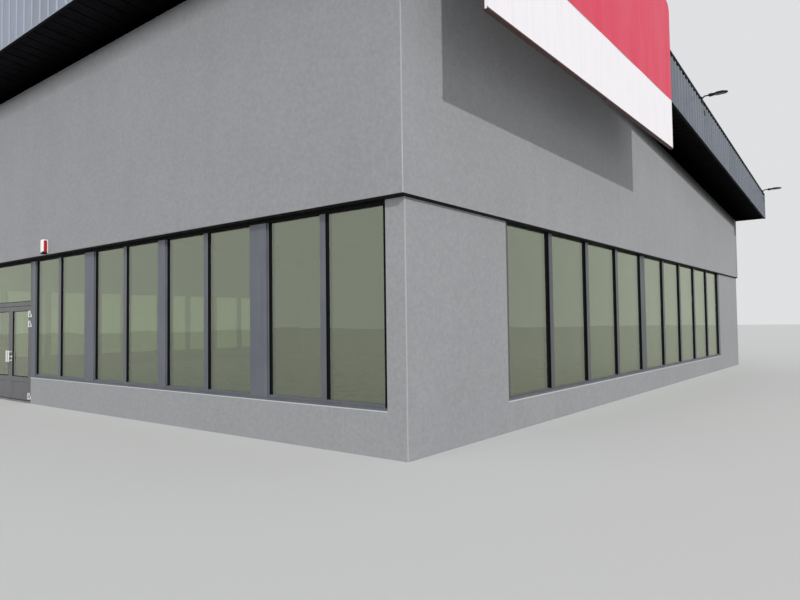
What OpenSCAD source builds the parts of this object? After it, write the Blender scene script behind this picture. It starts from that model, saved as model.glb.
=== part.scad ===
// Supermarket building: one tall hall with a glazed ground storey, a closed upper storey that
// stands proud of it, and a sloping roof with a deep canopy over the front and the sides.
// Millimetres. +Z is up, +Y runs to the back and +X to the visitor's right at the entrance.
// The origin lies on the ground, at the middle of the plan.

/* [Plan] */
// Width of one bay of the front, from pilaster to pilaster
bay_w = 2500; // [2300:10:2700]
// From the middle of the entrance to the first bay line
first_bay_x = 1220; // [1200:5:1300]
// Number of window bays on each side of the entrance bay
window_bays = 4; // [2:1:5]
// From the last bay line to the corner of the upper wall
corner_w = 240; // [230:5:330]
// Depth of the building over its upper walls
depth = 19760; // [19000:20:22000]

/* [Walls] */
// Thickness of the lower walls
wall_t = 300; // [240:10:400]
// How far the upper wall stands proud of the lower wall on the front
front_step = 100; // [60:5:160]
// How far the upper walls stand proud of the lower walls on the other sides
side_step = 50; // [30:5:100]
// Height of the floor above the ground
floor_h = 40; // [30:5:60]
// Height of the dwarf wall under the front windows
front_sill_h = 580; // [450:5:750]
// Height of the dwarf wall under the side windows
side_sill_h = 475; // [350:5:700]
// Height of the underside of the upper walls
upper_wall_z = 3135; // [2900:5:3400]

/* [Roof] */
// Height of the soffit where it meets the front wall
front_soffit_h = 6840; // [6400:10:7400]
// Fall of the soffit to the back, for each millimetre of depth
soffit_fall = 0.084; // [0.03:0.002:0.1]
// Height of the fascia, in the plane of the front wall
fascia_h = 1240; // [1000:10:1500]
// Fall of the roof to the back, for each millimetre of depth
roof_fall = 0.102; // [0.04:0.002:0.11]
// Reach of the canopy beyond the front wall
front_overhang = 1070; // [800:10:1400]
// Reach of the canopy beyond the side walls
side_overhang = 940; // [700:10:1300]
// Thickness of the fascia sheets with their rails
fascia_t = 60; // [40:5:90]
// Thickness of the soffit sheets with their rails
soffit_t = 50; // [30:5:80]
// Height of the fascia's upper edge above the roof deck
curb_h = 60; // [20:5:120]
// Thickness of the roof deck
deck_t = 200; // [120:10:220]

/* [Window frames] */
// Distance of the frames behind the face of the lower wall
frame_recess = 40; // [25:5:80]
// Depth of a window frame, front to back
frame_d = 80; // [70:5:110]
// Distance of the glass behind the front of its frame
glass_recess = 26; // [16:1:40]
// Thickness of the glazing
glass_t = 24; // [12:2:24]
// Height of the top bar of the front frames and of the entrance frame
front_head_bar_h = 65; // [40:5:140]
// Height of the bottom bar of the front frames
front_sill_bar_h = 50; // [30:5:80]
// Height of the top bar of the side frames
side_head_bar_h = 30; // [20:5:80]
// Height of the bottom bar of the side frames
side_sill_bar_h = 35; // [25:5:80]

/* [Front windows] */
// Width of the pilaster on the first bay line and of every second one after it
slim_pilaster_w = 220; // [160:10:300]
// Width of the pilasters between those
wide_pilaster_w = 360; // [260:10:420]
// Distance of the pilasters behind the face of the lower wall
pilaster_recess = 20; // [10:2:24]
// Depth of a pilaster, front to back
pilaster_d = 160; // [120:10:200]
// Width of a front frame's side bars
front_jamb_w = 30; // [20:2:60]
// Width of a front frame's middle mullion
front_mullion_w = 105; // [80:5:130]

/* [Side windows] */
// From the front corner of the upper wall to the side window strip
strip_start = 2550; // [1200:10:3000]
// Number of panes between the front jamb and the wide mullion
near_panes = 4; // [2:1:5]
// Width of each of those panes
near_pane_w = 1440; // [1300:5:1550]
// Number of panes behind the wide mullion
far_panes = 5; // [2:1:5]
// Width of each of those panes
far_pane_w = 1370; // [1300:5:1500]
// Width of the strip's end jambs
side_jamb_w = 90; // [40:5:120]
// Width of the slim mullions
side_mullion_w = 165; // [100:5:200]
// Width of the wide mullion
wide_mullion_w = 370; // [250:10:450]

/* [Entrance] */
// Width of the opening in the front wall for the entrance
entrance_w = 2380; // [2300:10:2400]
// Width of the entrance frame's jambs
door_jamb_w = 125; // [80:5:150]
// Height of the transom bar's underside
transom_z = 2120; // [2060:5:2300]
// Height of the transom bar
transom_h = 90; // [60:5:120]
// Depth of the entrance frame, front to back
entrance_frame_d = 100; // [80:5:130]
// Thickness of a door leaf
leaf_t = 60; // [45:5:75]
// Clearance between a leaf and its jamb
jamb_gap = 6; // [5:0.5:8]
// Clearance between the two leaves where they meet
meeting_gap = 10; // [8:1:14]
// Clearance above and below a leaf
leaf_gap_z = 8; // [6:1:12]
// Width of a leaf's stiles and height of its top rail
stile_w = 100; // [70:5:130]
// Height of the closed foot of a leaf above its lower edge
kick_h = 500; // [350:10:700]
// Thickness of the sheet in the foot of a leaf
kick_t = 30; // [20:2:40]

/* [Door fittings] */
// Height of a pull handle's lower end above the ground
pull_z = 865; // [800:5:1000]
// Length of a pull handle
pull_h = 260; // [200:10:600]
// Radius of the pull handle's bar
pull_r = 15; // [10:1:20]
// Distance of the handle's axis in front of the leaf
pull_reach = 60; // [45:5:90]
// Radius of a hinge knuckle
knuckle_r = 9; // [7:0.5:10]
// Height of each half of a hinge
knuckle_h = 68; // [50:2:80]
// Radius of a hinge pin
hinge_pin_r = 4; // [3:0.25:5]
// Radial clearance round a hinge pin
hinge_clearance = 0.3; // [0.2:0.05:0.5]
// Distance of the hinge axis in front of the leaves
hinge_reach = 40; // [30:1:50]
// Width of a hinge's plate
hinge_plate_w = 40; // [25:5:60]
// Thickness of a hinge's plate
hinge_plate_t = 6; // [4:0.5:10]
// Width and height of the arm between a hinge's plate and its knuckle
hinge_arm_w = 18; // [12:1:22]
// Height of the lowest hinge
low_hinge_z = 83; // [75:1:250]
// Height of the middle hinge
mid_hinge_z = 1650; // [1300:10:1690]
// Height of the top hinge
top_hinge_z = 1865; // [1860:5:1930]

/* [Sign] */
// From the front corner of the upper wall to the sign's near edge
sign_start = 280; // [100:10:1000]
// Length of the sign
sign_len = 7420; // [6000:20:8500]
// Height of the sign's lower edge above the ground
sign_z = 5100; // [4600:10:5300]
// Height of the sign
sign_h = 3000; // [2800:10:3600]
// Height of the sign's lower stripe
stripe_h = 980; // [700:10:1300]
// Thickness of the sign's board
board_t = 40; // [25:5:60]
// Radius of the sign's upper corners
sign_corner_r = 200; // [100:10:400]
// Number of posts behind the sign
sign_posts = 5; // [3:1:8]
// Width of the posts and rails behind the sign
post_w = 60; // [40:5:100]
// Depth of the posts and rails behind the sign
post_d = 30; // [20:5:60]

/* [Lamps and siren] */
// From the front corner of the upper wall to the front lamp
front_lamp_y = 10700; // [9500:50:12000]
// From the back corner of the upper wall to the back lamp
back_lamp_y = 360; // [-500:20:2000]
// Length of a lamp's arm
lamp_arm_len = 150; // [80:5:300]
// Radius of a lamp's arm
lamp_arm_r = 16; // [12:1:25]
// Height of a lamp's arm above the top of the fascia
lamp_rise = 30; // [25:5:60]
// Length of a lamp's head
lamp_head_len = 420; // [300:10:600]
// Width of a lamp's head
lamp_head_w = 200; // [150:10:320]
// Thickness of a lamp's head
lamp_head_t = 80; // [60:5:120]
// Thickness of the plate that holds a lamp's arm
lamp_plate_t = 8; // [5:1:15]
// Side of that plate
lamp_plate_w = 120; // [100:10:220]
// From the middle of the entrance to the siren's near edge
siren_x = 2070; // [1800:10:2400]
// Height of the siren above the underside of the upper wall
siren_rise = 10; // [5:5:200]
// Width of the siren's housing
siren_w = 120; // [100:5:200]
// Height of the siren
siren_h = 300; // [200:5:350]
// Depth of the siren
siren_d = 100; // [60:5:130]
// Thickness of the lens on the siren's side
lens_t = 25; // [15:5:50]

/* [Fits] */
// Bedding gap between the sloping roof deck and the walls under it
bed_gap = 0.5; // [0.3:0.1:0.9]
// Gap between the two halves of a hinge
knuckle_gap = 1; // [0.5:0.25:2]

/* [Hidden] */

right = 1;
left = -1;
overcut = 10;

// Plan of the walls
half_w = bay_line(window_bays) + corner_w;
front_y = -depth / 2;
back_y = depth / 2;
lower_front_y = front_y + front_step;
lower_back_y = back_y - side_step;
lower_side_x = half_w - side_step;
inner_x = lower_side_x - wall_t;
inner_front_y = lower_front_y + wall_t;
inner_back_y = lower_back_y - wall_t;

// Canopy
fascia_x = half_w + side_overhang;
fascia_front_y = front_y - front_overhang;
fascia_back_y = back_y + fascia_t;
canopy_x = fascia_x - fascia_t;
canopy_front_y = fascia_front_y + fascia_t;

// Front windows
entrance_x = entrance_w / 2;
pier_x = window_x1(window_bays - 1);
frame_y = lower_front_y + frame_recess;
front_frame_w = bay_w - (slim_pilaster_w + wide_pilaster_w) / 2;
front_pane_w = (front_frame_w - 2 * front_jamb_w - front_mullion_w) / 2;
front_pane_z = front_sill_h + front_sill_bar_h;
front_pane_h = upper_wall_z - front_head_bar_h - front_pane_z;

// Side windows
strip_y = front_y + strip_start;
near_len = near_panes * near_pane_w + (near_panes - 1) * side_mullion_w;
far_len = far_panes * far_pane_w + (far_panes - 1) * side_mullion_w;
strip_len = near_len + wide_mullion_w + far_len + 2 * side_jamb_w;
near_y = strip_y + side_jamb_w;
far_y = near_y + near_len + wide_mullion_w;
side_frame_x = lower_side_x - frame_recess;
side_pane_z = side_sill_h + side_sill_bar_h;
side_pane_h = upper_wall_z - side_head_bar_h - side_pane_z;

// Doors
door_x = entrance_x - door_jamb_w;
light_h = upper_wall_z - front_head_bar_h - transom_z - transom_h;
leaf_edge_x = door_x - jamb_gap;
leaf_w = leaf_edge_x - meeting_gap / 2;
leaf_z = floor_h + leaf_gap_z;
leaf_h = transom_z - leaf_gap_z - leaf_z;
leaf_glass_y = frame_y + (leaf_t - glass_t) / 2;
hinge_x = door_x - jamb_gap / 2;
hinge_y = frame_y - hinge_reach;
hinge_zs = [low_hinge_z, mid_hinge_z, top_hinge_z];

// Sign, on the right side of the building
sign_y = front_y + sign_start;
sign_frame_x = fascia_x;
board_x = sign_frame_x + post_d;
post_step = (sign_len - post_w) / (sign_posts - 1);

// Middle of the pilaster number k, counted from the entrance
function bay_line(k) = first_bay_x + k * bay_w;
// Width of that pilaster
function pilaster_w(k) = k % 2 == 0 ? slim_pilaster_w : wide_pilaster_w;
// Ends of the front window number k, between its two pilasters
function window_x0(k) = bay_line(k) + pilaster_w(k) / 2;
function window_x1(k) = bay_line(k + 1) - pilaster_w(k + 1) / 2;
// Height of the soffit's underside at the depth y
function soffit_z(y) = front_soffit_h - soffit_fall * (y - front_y);
// Height of the fascia's upper edge at the depth y
function eaves_z(y) = front_soffit_h + fascia_h - roof_fall * (y - front_y);
// Height of the roof deck's underside at the depth y
function deck_z(y) = eaves_z(y) - curb_h - deck_t;
// Place of pane number k in a row of panes that starts at y0
function pane_y(y0, w, k) = y0 + k * (w + side_mullion_w);

// Shows a sub-part as it is on the right side, or turned over for the left side
module on_side(side) {
    if (side == right) children();
    else mirror([1, 0, 0]) children();
}

// Bar along X whose outline is given in Y and Z
module along_x(x, len, outline) {
    translate([x, 0, 0]) rotate([90, 0, 90]) linear_extrude(len) polygon(outline);
}

// Outlines in Y and Z, from the depth y0 to the depth y1
function soffit_outline(y0, y1) = [
    [y0, soffit_z(y0)], [y1, soffit_z(y1)], [y1, soffit_z(y1) + soffit_t], [y0, soffit_z(y0) + soffit_t]
];
function fascia_outline(y0, y1) = [
    [y0, soffit_z(y0)], [y1, soffit_z(y1)], [y1, eaves_z(y1)], [y0, eaves_z(y0)]
];
function deck_outline(y0, y1) = [
    [y0, deck_z(y0)], [y1, deck_z(y1)], [y1, deck_z(y1) + deck_t], [y0, deck_z(y0) + deck_t]
];
// An upper wall is level below and bedded under the roof deck above
function upper_outline(y0, y1) = [
    [y0, upper_wall_z], [y1, upper_wall_z], [y1, deck_z(y1) - bed_gap], [y0, deck_z(y0) - bed_gap]
];

module floor_slab() {
    color("darkgray")
        translate([-inner_x, inner_front_y, 0]) cube([2 * inner_x, inner_back_y - inner_front_y, floor_h]);
}

// Dwarf wall under the windows, with the pier at the building's corner
module front_wall(side) {
    color([0.6, 0.6, 0.61]) on_side(side) {
        difference() {
            translate([entrance_x, lower_front_y, 0])
                cube([lower_side_x - entrance_x, wall_t, upper_wall_z]);
            translate([entrance_x - overcut, lower_front_y - overcut, front_sill_h])
                cube([pier_x - entrance_x + overcut, wall_t + 2 * overcut, upper_wall_z]);
        }
    }
}

// Side wall with the long window opening, which reaches up to the upper wall
module side_wall(side) {
    color([0.6, 0.6, 0.61]) on_side(side) {
        difference() {
            translate([inner_x, inner_front_y, 0])
                cube([wall_t, inner_back_y - inner_front_y, upper_wall_z]);
            translate([inner_x - overcut, strip_y, side_sill_h])
                cube([wall_t + 2 * overcut, strip_len, upper_wall_z]);
        }
    }
}

module back_wall() {
    color([0.6, 0.6, 0.61])
        translate([-lower_side_x, inner_back_y, 0]) cube([2 * lower_side_x, wall_t, upper_wall_z]);
}

module front_upper_wall() {
    color([0.58, 0.58, 0.59]) along_x(-half_w, 2 * half_w, upper_outline(front_y, inner_front_y));
}

module back_upper_wall() {
    color([0.58, 0.58, 0.59]) along_x(-half_w, 2 * half_w, upper_outline(inner_back_y, back_y));
}

module side_upper_wall(side) {
    color([0.58, 0.58, 0.59]) on_side(side)
        along_x(inner_x, half_w - inner_x, upper_outline(inner_front_y, inner_back_y));
}

// Posts between the windows; the first one stands beside the entrance frame
module pilasters(side) {
    color([0.38, 0.37, 0.41]) on_side(side) {
        for (k = [0 : window_bays - 1]) {
            x0 = k == 0 ? entrance_x : window_x1(k - 1);
            translate([x0, lower_front_y + pilaster_recess, front_sill_h])
                cube([window_x0(k) - x0, pilaster_d, upper_wall_z - front_sill_h]);
        }
    }
}

// Left edge of each pane in the front window number k
function front_pane_xs(k) = [
    for (i = [0, 1]) window_x0(k) + front_jamb_w + i * (front_pane_w + front_mullion_w)
];

module front_frames(side) {
    color([0.38, 0.37, 0.41]) on_side(side) {
        for (k = [0 : window_bays - 1]) {
            difference() {
                translate([window_x0(k), frame_y, front_sill_h])
                    cube([front_frame_w, frame_d, upper_wall_z - front_sill_h]);
                for (x = front_pane_xs(k)) {
                    translate([x, frame_y - overcut, front_pane_z])
                        cube([front_pane_w, frame_d + 2 * overcut, front_pane_h]);
                }
            }
        }
    }
}

module front_glass(side) {
    color([0.35, 0.45, 0.42, 0.6]) on_side(side) {
        for (k = [0 : window_bays - 1], x = front_pane_xs(k)) {
            translate([x, frame_y + glass_recess, front_pane_z])
                cube([front_pane_w, glass_t, front_pane_h]);
        }
    }
}

// The panes of a side strip, as blocks of the given thickness from the plane x outwards
module side_panes(x, thickness) {
    for (k = [0 : near_panes - 1]) {
        translate([x, pane_y(near_y, near_pane_w, k), side_pane_z])
            cube([thickness, near_pane_w, side_pane_h]);
    }
    for (k = [0 : far_panes - 1]) {
        translate([x, pane_y(far_y, far_pane_w, k), side_pane_z])
            cube([thickness, far_pane_w, side_pane_h]);
    }
}

module side_frame(side) {
    color([0.38, 0.37, 0.41]) on_side(side) {
        difference() {
            translate([side_frame_x - frame_d, strip_y, side_sill_h])
                cube([frame_d, strip_len, upper_wall_z - side_sill_h]);
            side_panes(side_frame_x - frame_d - overcut, frame_d + 2 * overcut);
        }
    }
}

module side_glass(side) {
    color([0.35, 0.45, 0.42, 0.6]) on_side(side)
        side_panes(side_frame_x - glass_recess - glass_t, glass_t);
}

// Jambs, transom bar and head bar round the double door and the light above it
module entrance_frame() {
    color([0.38, 0.37, 0.41]) {
        difference() {
            translate([-entrance_x, frame_y, floor_h])
                cube([2 * entrance_x, entrance_frame_d, upper_wall_z - floor_h]);
            translate([-door_x, frame_y - overcut, floor_h - overcut])
                cube([2 * door_x, entrance_frame_d + 2 * overcut, transom_z - floor_h + overcut]);
            translate([-door_x, frame_y - overcut, transom_z + transom_h])
                cube([2 * door_x, entrance_frame_d + 2 * overcut, light_h]);
        }
    }
}

module transom_glass() {
    color([0.35, 0.45, 0.42, 0.6])
        translate([-door_x, frame_y + glass_recess, transom_z + transom_h])
            cube([2 * door_x, glass_t, light_h]);
}

module threshold() {
    color("dimgray")
        translate([-entrance_x, lower_front_y, 0]) cube([2 * entrance_x, wall_t, floor_h]);
}

// Plate on the frame and arm that holds one knuckle, for the half whose arm lies at the height arm_z
module hinge_half(arm_z) {
    cylinder(r = knuckle_r, h = knuckle_h, $fn = 48);
    translate([jamb_gap / 2, hinge_reach - hinge_plate_t, 0])
        cube([hinge_plate_w, hinge_plate_t, knuckle_h]);
    translate([jamb_gap / 2, 0, arm_z]) cube([hinge_arm_w, hinge_reach, hinge_arm_w]);
}

// Lower halves of the hinges, with the pins, on both jambs
module door_hinges() {
    color("gainsboro") {
        for (side = [left, right], z = hinge_zs) {
            on_side(side) translate([hinge_x, hinge_y, z]) {
                hinge_half(0);
                cylinder(r = hinge_pin_r, h = 2 * knuckle_h, $fn = 48);
            }
        }
    }
}

// Upper halves of one leaf's hinges
module leaf_knuckles() {
    for (z = hinge_zs) {
        translate([hinge_x, hinge_y, z + knuckle_h + knuckle_gap]) {
            difference() {
                mirror([1, 0, 0]) hinge_half(knuckle_h - hinge_arm_w);
                translate([0, 0, -overcut])
                    cylinder(r = hinge_pin_r + hinge_clearance, h = knuckle_h + 2 * overcut, $fn = 48);
            }
        }
    }
}

// Framed leaf with a glazed opening over a closed foot, and its halves of the hinges
module door_leaf(side) {
    color([0.38, 0.37, 0.41]) on_side(side) {
        difference() {
            translate([meeting_gap / 2, frame_y, leaf_z]) cube([leaf_w, leaf_t, leaf_h]);
            translate([meeting_gap / 2 + stile_w, frame_y - overcut, leaf_z + kick_h])
                cube([leaf_w - 2 * stile_w, leaf_t + 2 * overcut, leaf_h - kick_h - stile_w]);
            for (y = [frame_y - overcut, frame_y + (leaf_t + kick_t) / 2]) {
                translate([meeting_gap / 2 + stile_w, y, leaf_z + stile_w])
                    cube([leaf_w - 2 * stile_w, (leaf_t - kick_t) / 2 + overcut, kick_h - 2 * stile_w]);
            }
        }
        leaf_knuckles();
    }
}

module door_glass(side) {
    color([0.35, 0.45, 0.42, 0.6]) on_side(side)
        translate([meeting_gap / 2 + stile_w, leaf_glass_y, leaf_z + kick_h])
            cube([leaf_w - 2 * stile_w, glass_t, leaf_h - kick_h - stile_w]);
}

// Upright bar on two stand-offs, in the middle of the meeting stile
module door_pull(side) {
    color("silver") on_side(side) {
        translate([(meeting_gap + stile_w) / 2, frame_y - pull_reach, pull_z]) {
            cylinder(r = pull_r, h = pull_h, $fn = 48);
            for (z = [pull_h / 8, pull_h * 7 / 8]) {
                translate([0, 0, z]) rotate([-90, 0, 0])
                    cylinder(r = pull_r * 2 / 3, h = pull_reach, $fn = 48);
            }
        }
    }
}

module front_soffit() {
    color([0.16, 0.16, 0.17])
        along_x(-canopy_x, 2 * canopy_x, soffit_outline(canopy_front_y, front_y));
}

module side_soffit(side) {
    color([0.16, 0.16, 0.17]) on_side(side)
        along_x(half_w, canopy_x - half_w, soffit_outline(front_y, back_y));
}

module front_fascia() {
    color([0.62, 0.66, 0.72])
        along_x(-canopy_x, 2 * canopy_x, fascia_outline(fascia_front_y, canopy_front_y));
}

// Hangs on the back wall and closes the ends of the side canopies
module back_fascia() {
    color([0.42, 0.45, 0.5])
        along_x(-canopy_x, 2 * canopy_x, fascia_outline(back_y, fascia_back_y));
}

module side_fascia(side) {
    color([0.42, 0.45, 0.5]) on_side(side)
        along_x(canopy_x, fascia_t, fascia_outline(fascia_front_y, fascia_back_y));
}

module roof_deck() {
    color([0.5, 0.51, 0.53])
        along_x(-canopy_x, 2 * canopy_x, deck_outline(canopy_front_y, back_y));
}

// Tall board with rounded upper corners
module sign_board() {
    color([0.93, 0.92, 0.93])
        translate([board_x, sign_y, sign_z]) rotate([90, 0, 90]) linear_extrude(board_t) {
            square([sign_len, sign_h - sign_corner_r]);
            translate([sign_corner_r, 0]) square([sign_len - 2 * sign_corner_r, sign_h]);
            for (y = [sign_corner_r, sign_len - sign_corner_r])
                translate([y, sign_h - sign_corner_r]) circle(r = sign_corner_r, $fn = 96);
        }
}

// Posts on the fascia that carry the board, with a rail along the board's foot and at the stripe
module sign_frame() {
    color([0.2, 0.12, 0.11]) {
        for (k = [0 : sign_posts - 1]) {
            translate([sign_frame_x, sign_y + k * post_step, sign_z])
                cube([post_d, post_w, sign_h - sign_corner_r]);
        }
        for (z = [sign_z, sign_z + stripe_h]) {
            translate([sign_frame_x, sign_y, z]) cube([post_d, sign_len, post_w]);
        }
    }
}

module alarm_siren() {
    color("white")
        translate([siren_x, front_y - siren_d, upper_wall_z + siren_rise]) cube([siren_w, siren_d, siren_h]);
}

module siren_lens() {
    color("crimson")
        translate([siren_x + siren_w, front_y - siren_d, upper_wall_z + siren_rise])
            cube([lens_t, siren_d, siren_h]);
}

// Flat lamps on short arms along the upper edge of both side fascias
module floodlights() {
    color([0.25, 0.26, 0.28]) {
        for (side = [left, right], y = [front_y + front_lamp_y, back_y - back_lamp_y]) {
            arm_z = eaves_z(y) + lamp_rise;
            on_side(side) {
                translate([fascia_x, y - lamp_plate_w / 2, arm_z + lamp_arm_r - lamp_plate_w])
                    cube([lamp_plate_t, lamp_plate_w, lamp_plate_w]);
                translate([fascia_x, y, arm_z]) rotate([0, 90, 0])
                    cylinder(r = lamp_arm_r, h = lamp_arm_len, $fn = 48);
                translate([fascia_x + lamp_arm_len, y - lamp_head_w / 2, arm_z - lamp_head_t / 2])
                    cube([lamp_head_len, lamp_head_w, lamp_head_t]);
            }
        }
    }
}

floor_slab();
front_wall(right);  // front_wall_right
front_wall(left);  // front_wall_left
side_wall(right);  // side_wall_right
side_wall(left);  // side_wall_left
back_wall();
front_upper_wall();
side_upper_wall(right);  // side_upper_wall_right
side_upper_wall(left);  // side_upper_wall_left
back_upper_wall();
pilasters(right);  // pilasters_right
pilasters(left);  // pilasters_left
front_frames(right);  // front_frames_right
front_frames(left);  // front_frames_left
front_glass(right);  // front_glass_right
front_glass(left);  // front_glass_left
side_frame(right);  // side_frame_right
side_frame(left);  // side_frame_left
side_glass(right);  // side_glass_right
side_glass(left);  // side_glass_left
entrance_frame();
transom_glass();
threshold();
door_hinges();
door_leaf(right);  // door_leaf_right
door_glass(right);  // door_glass_right
door_pull(right);  // door_pull_right
door_leaf(left);  // door_leaf_left
door_glass(left);  // door_glass_left
door_pull(left);  // door_pull_left
front_soffit();
side_soffit(right);  // side_soffit_right
side_soffit(left);  // side_soffit_left
front_fascia();
back_fascia();
side_fascia(right);  // side_fascia_right
side_fascia(left);  // side_fascia_left
roof_deck();
sign_board();
sign_frame();
alarm_siren();
siren_lens();
floodlights();
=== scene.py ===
# %% [markdown]
# # Supermarket building
# A low hall with grey rendered walls, long window bands and a canopy of ribbed steel sheet. The packed
# model gives every wall, frame and pane its place. This lesson adds what is seen up close: the fine
# grain of the render, folded sheets, gaskets, trims and lamps, each placed from the model's own boxes.

# %% Load the frame
from math import cos, pi, radians, sin

import bpy
import numpy as np
from mathutils import Matrix, Vector


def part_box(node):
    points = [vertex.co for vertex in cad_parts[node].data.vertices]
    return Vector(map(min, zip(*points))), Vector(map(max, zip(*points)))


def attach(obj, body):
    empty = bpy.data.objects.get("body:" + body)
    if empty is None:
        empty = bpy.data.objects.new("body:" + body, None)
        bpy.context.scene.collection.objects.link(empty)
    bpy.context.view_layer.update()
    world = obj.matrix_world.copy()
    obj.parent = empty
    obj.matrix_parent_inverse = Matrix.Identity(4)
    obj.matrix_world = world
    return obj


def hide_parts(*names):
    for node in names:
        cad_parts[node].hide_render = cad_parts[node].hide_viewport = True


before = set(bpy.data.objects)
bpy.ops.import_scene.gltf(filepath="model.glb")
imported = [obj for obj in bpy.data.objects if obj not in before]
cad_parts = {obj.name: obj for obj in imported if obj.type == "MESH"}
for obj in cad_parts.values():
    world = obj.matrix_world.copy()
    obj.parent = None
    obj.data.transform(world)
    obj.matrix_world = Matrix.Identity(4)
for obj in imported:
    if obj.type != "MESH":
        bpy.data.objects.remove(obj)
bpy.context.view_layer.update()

# %% [markdown]
# ## Camera
# The photograph was taken at eye height near the building's corner with a wide lens. A camera is a place, a
# direction and a focal length. The direction is built here from three turns, because turns can be read and
# changed one at a time: yaw to the left of the view along +Y, pitch upwards, and a small roll.

# %% Camera
SENSOR_W = 36.0
LENS = 28.51
EYE = Vector((15.920, -15.663, 1.600))
YAW = 0.66353
PITCH = 0.038531
ROLL = -0.013017


def camera_turn(yaw, pitch, roll):
    """Columns are the camera's right, up and backward directions: the forward direction is turned by yaw
    and pitch, right is level, up is their cross product, and roll turns right and up about forward."""
    forward = Vector((-sin(yaw) * cos(pitch), cos(yaw) * cos(pitch), sin(pitch)))
    level = Vector((cos(yaw), sin(yaw), 0.0))
    upright = level.cross(forward)
    right = cos(roll) * level + sin(roll) * upright
    up = cos(roll) * upright - sin(roll) * level
    return Matrix((right, up, -forward)).transposed()


lens_data = bpy.data.cameras.new("photo_camera")
lens_data.sensor_width = SENSOR_W
lens_data.lens = LENS
lens_data.clip_end = 500.0
camera = bpy.data.objects.new("photo_camera", lens_data)
bpy.context.scene.collection.objects.link(camera)
camera.matrix_world = Matrix.Translation(EYE) @ camera_turn(YAW, PITCH, ROLL).to_4x4()
bpy.context.scene.camera = camera
print("camera at", tuple(EYE))

# %% [markdown]
# ## Light and floor
# Outdoors one sun throws the shadows and light from all around fills them. Here a sun comes from the same
# side as in the photograph, a weak low one lifts the front, and an even world gives the light from all
# around. Their sum is kept near the level at which a surface renders in its own colour. The world and the
# floor are pale for the camera and in reflections.

# %% Light and floor
KEY_TRAVEL = Vector((-1.0, 0.6, -0.64))
KEY_POWER = 1.96
KEY_SPREAD = 1.0
FILL_TRAVEL = Vector((0.25, 1.0, -0.12))
FILL_POWER = 0.52
FILL_SPREAD = 14.0
WORLD_POWER = 0.51
BACKDROP = 0.76
WORLD_TINT = (0.97, 0.985, 1.0, 1.0)
FLOOR_TONE = (0.72, 0.72, 0.715)
FLOOR_HALF = 220.0


def sun(name, travel, power, spread):
    """Lamp whose light travels along the given direction; spread is the angle that it fills, in degrees."""
    data = bpy.data.lights.new(name, "SUN")
    data.energy = power
    data.angle = radians(spread)
    lamp = bpy.data.objects.new(name, data)
    bpy.context.scene.collection.objects.link(lamp)
    lamp.matrix_world = travel.to_track_quat("-Z", "Y").to_matrix().to_4x4()
    return lamp


key_sun = sun("key_sun", KEY_TRAVEL, KEY_POWER, KEY_SPREAD)
sun("front_fill", FILL_TRAVEL, FILL_POWER, FILL_SPREAD)

world = bpy.data.worlds.new("pale_world")
world.use_nodes = True
bpy.context.scene.world = world
tree = world.node_tree
rays = tree.nodes.new("ShaderNodeLightPath").outputs
seen = rays["Is Camera Ray"]
for kind in ("Is Glossy Ray", "Is Transmission Ray"):
    either = tree.nodes.new("ShaderNodeMath")
    either.operation = "MAXIMUM"
    tree.links.new(seen, either.inputs[0])
    tree.links.new(rays[kind], either.inputs[1])
    seen = either.outputs[0]
choice = tree.nodes.new("ShaderNodeMixShader")
tree.links.new(seen, choice.inputs["Fac"])
for place, power in ((1, WORLD_POWER), (2, BACKDROP)):
    glow = tree.nodes.new("ShaderNodeBackground")
    glow.inputs["Color"].default_value = WORLD_TINT
    glow.inputs["Strength"].default_value = power
    tree.links.new(glow.outputs[0], choice.inputs[place])
tree.links.new(choice.outputs[0], tree.nodes["World Output"].inputs["Surface"])
bpy.context.scene.view_settings.view_transform = "Standard"
print("key", KEY_POWER, "fill", FILL_POWER, "world", WORLD_POWER)

# %% [markdown]
# ## Finishes
# Every surface of the real building shows something at arm's length: sand in the render, an orange-peel
# skin on powder coating, dust in the folds of a sheet. A finish here is a Principled shader fed by patterns
# in metres on Object coordinates, so it lies still on the building and fits pieces that meet. A small class
# keeps each pattern to one line.

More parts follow.
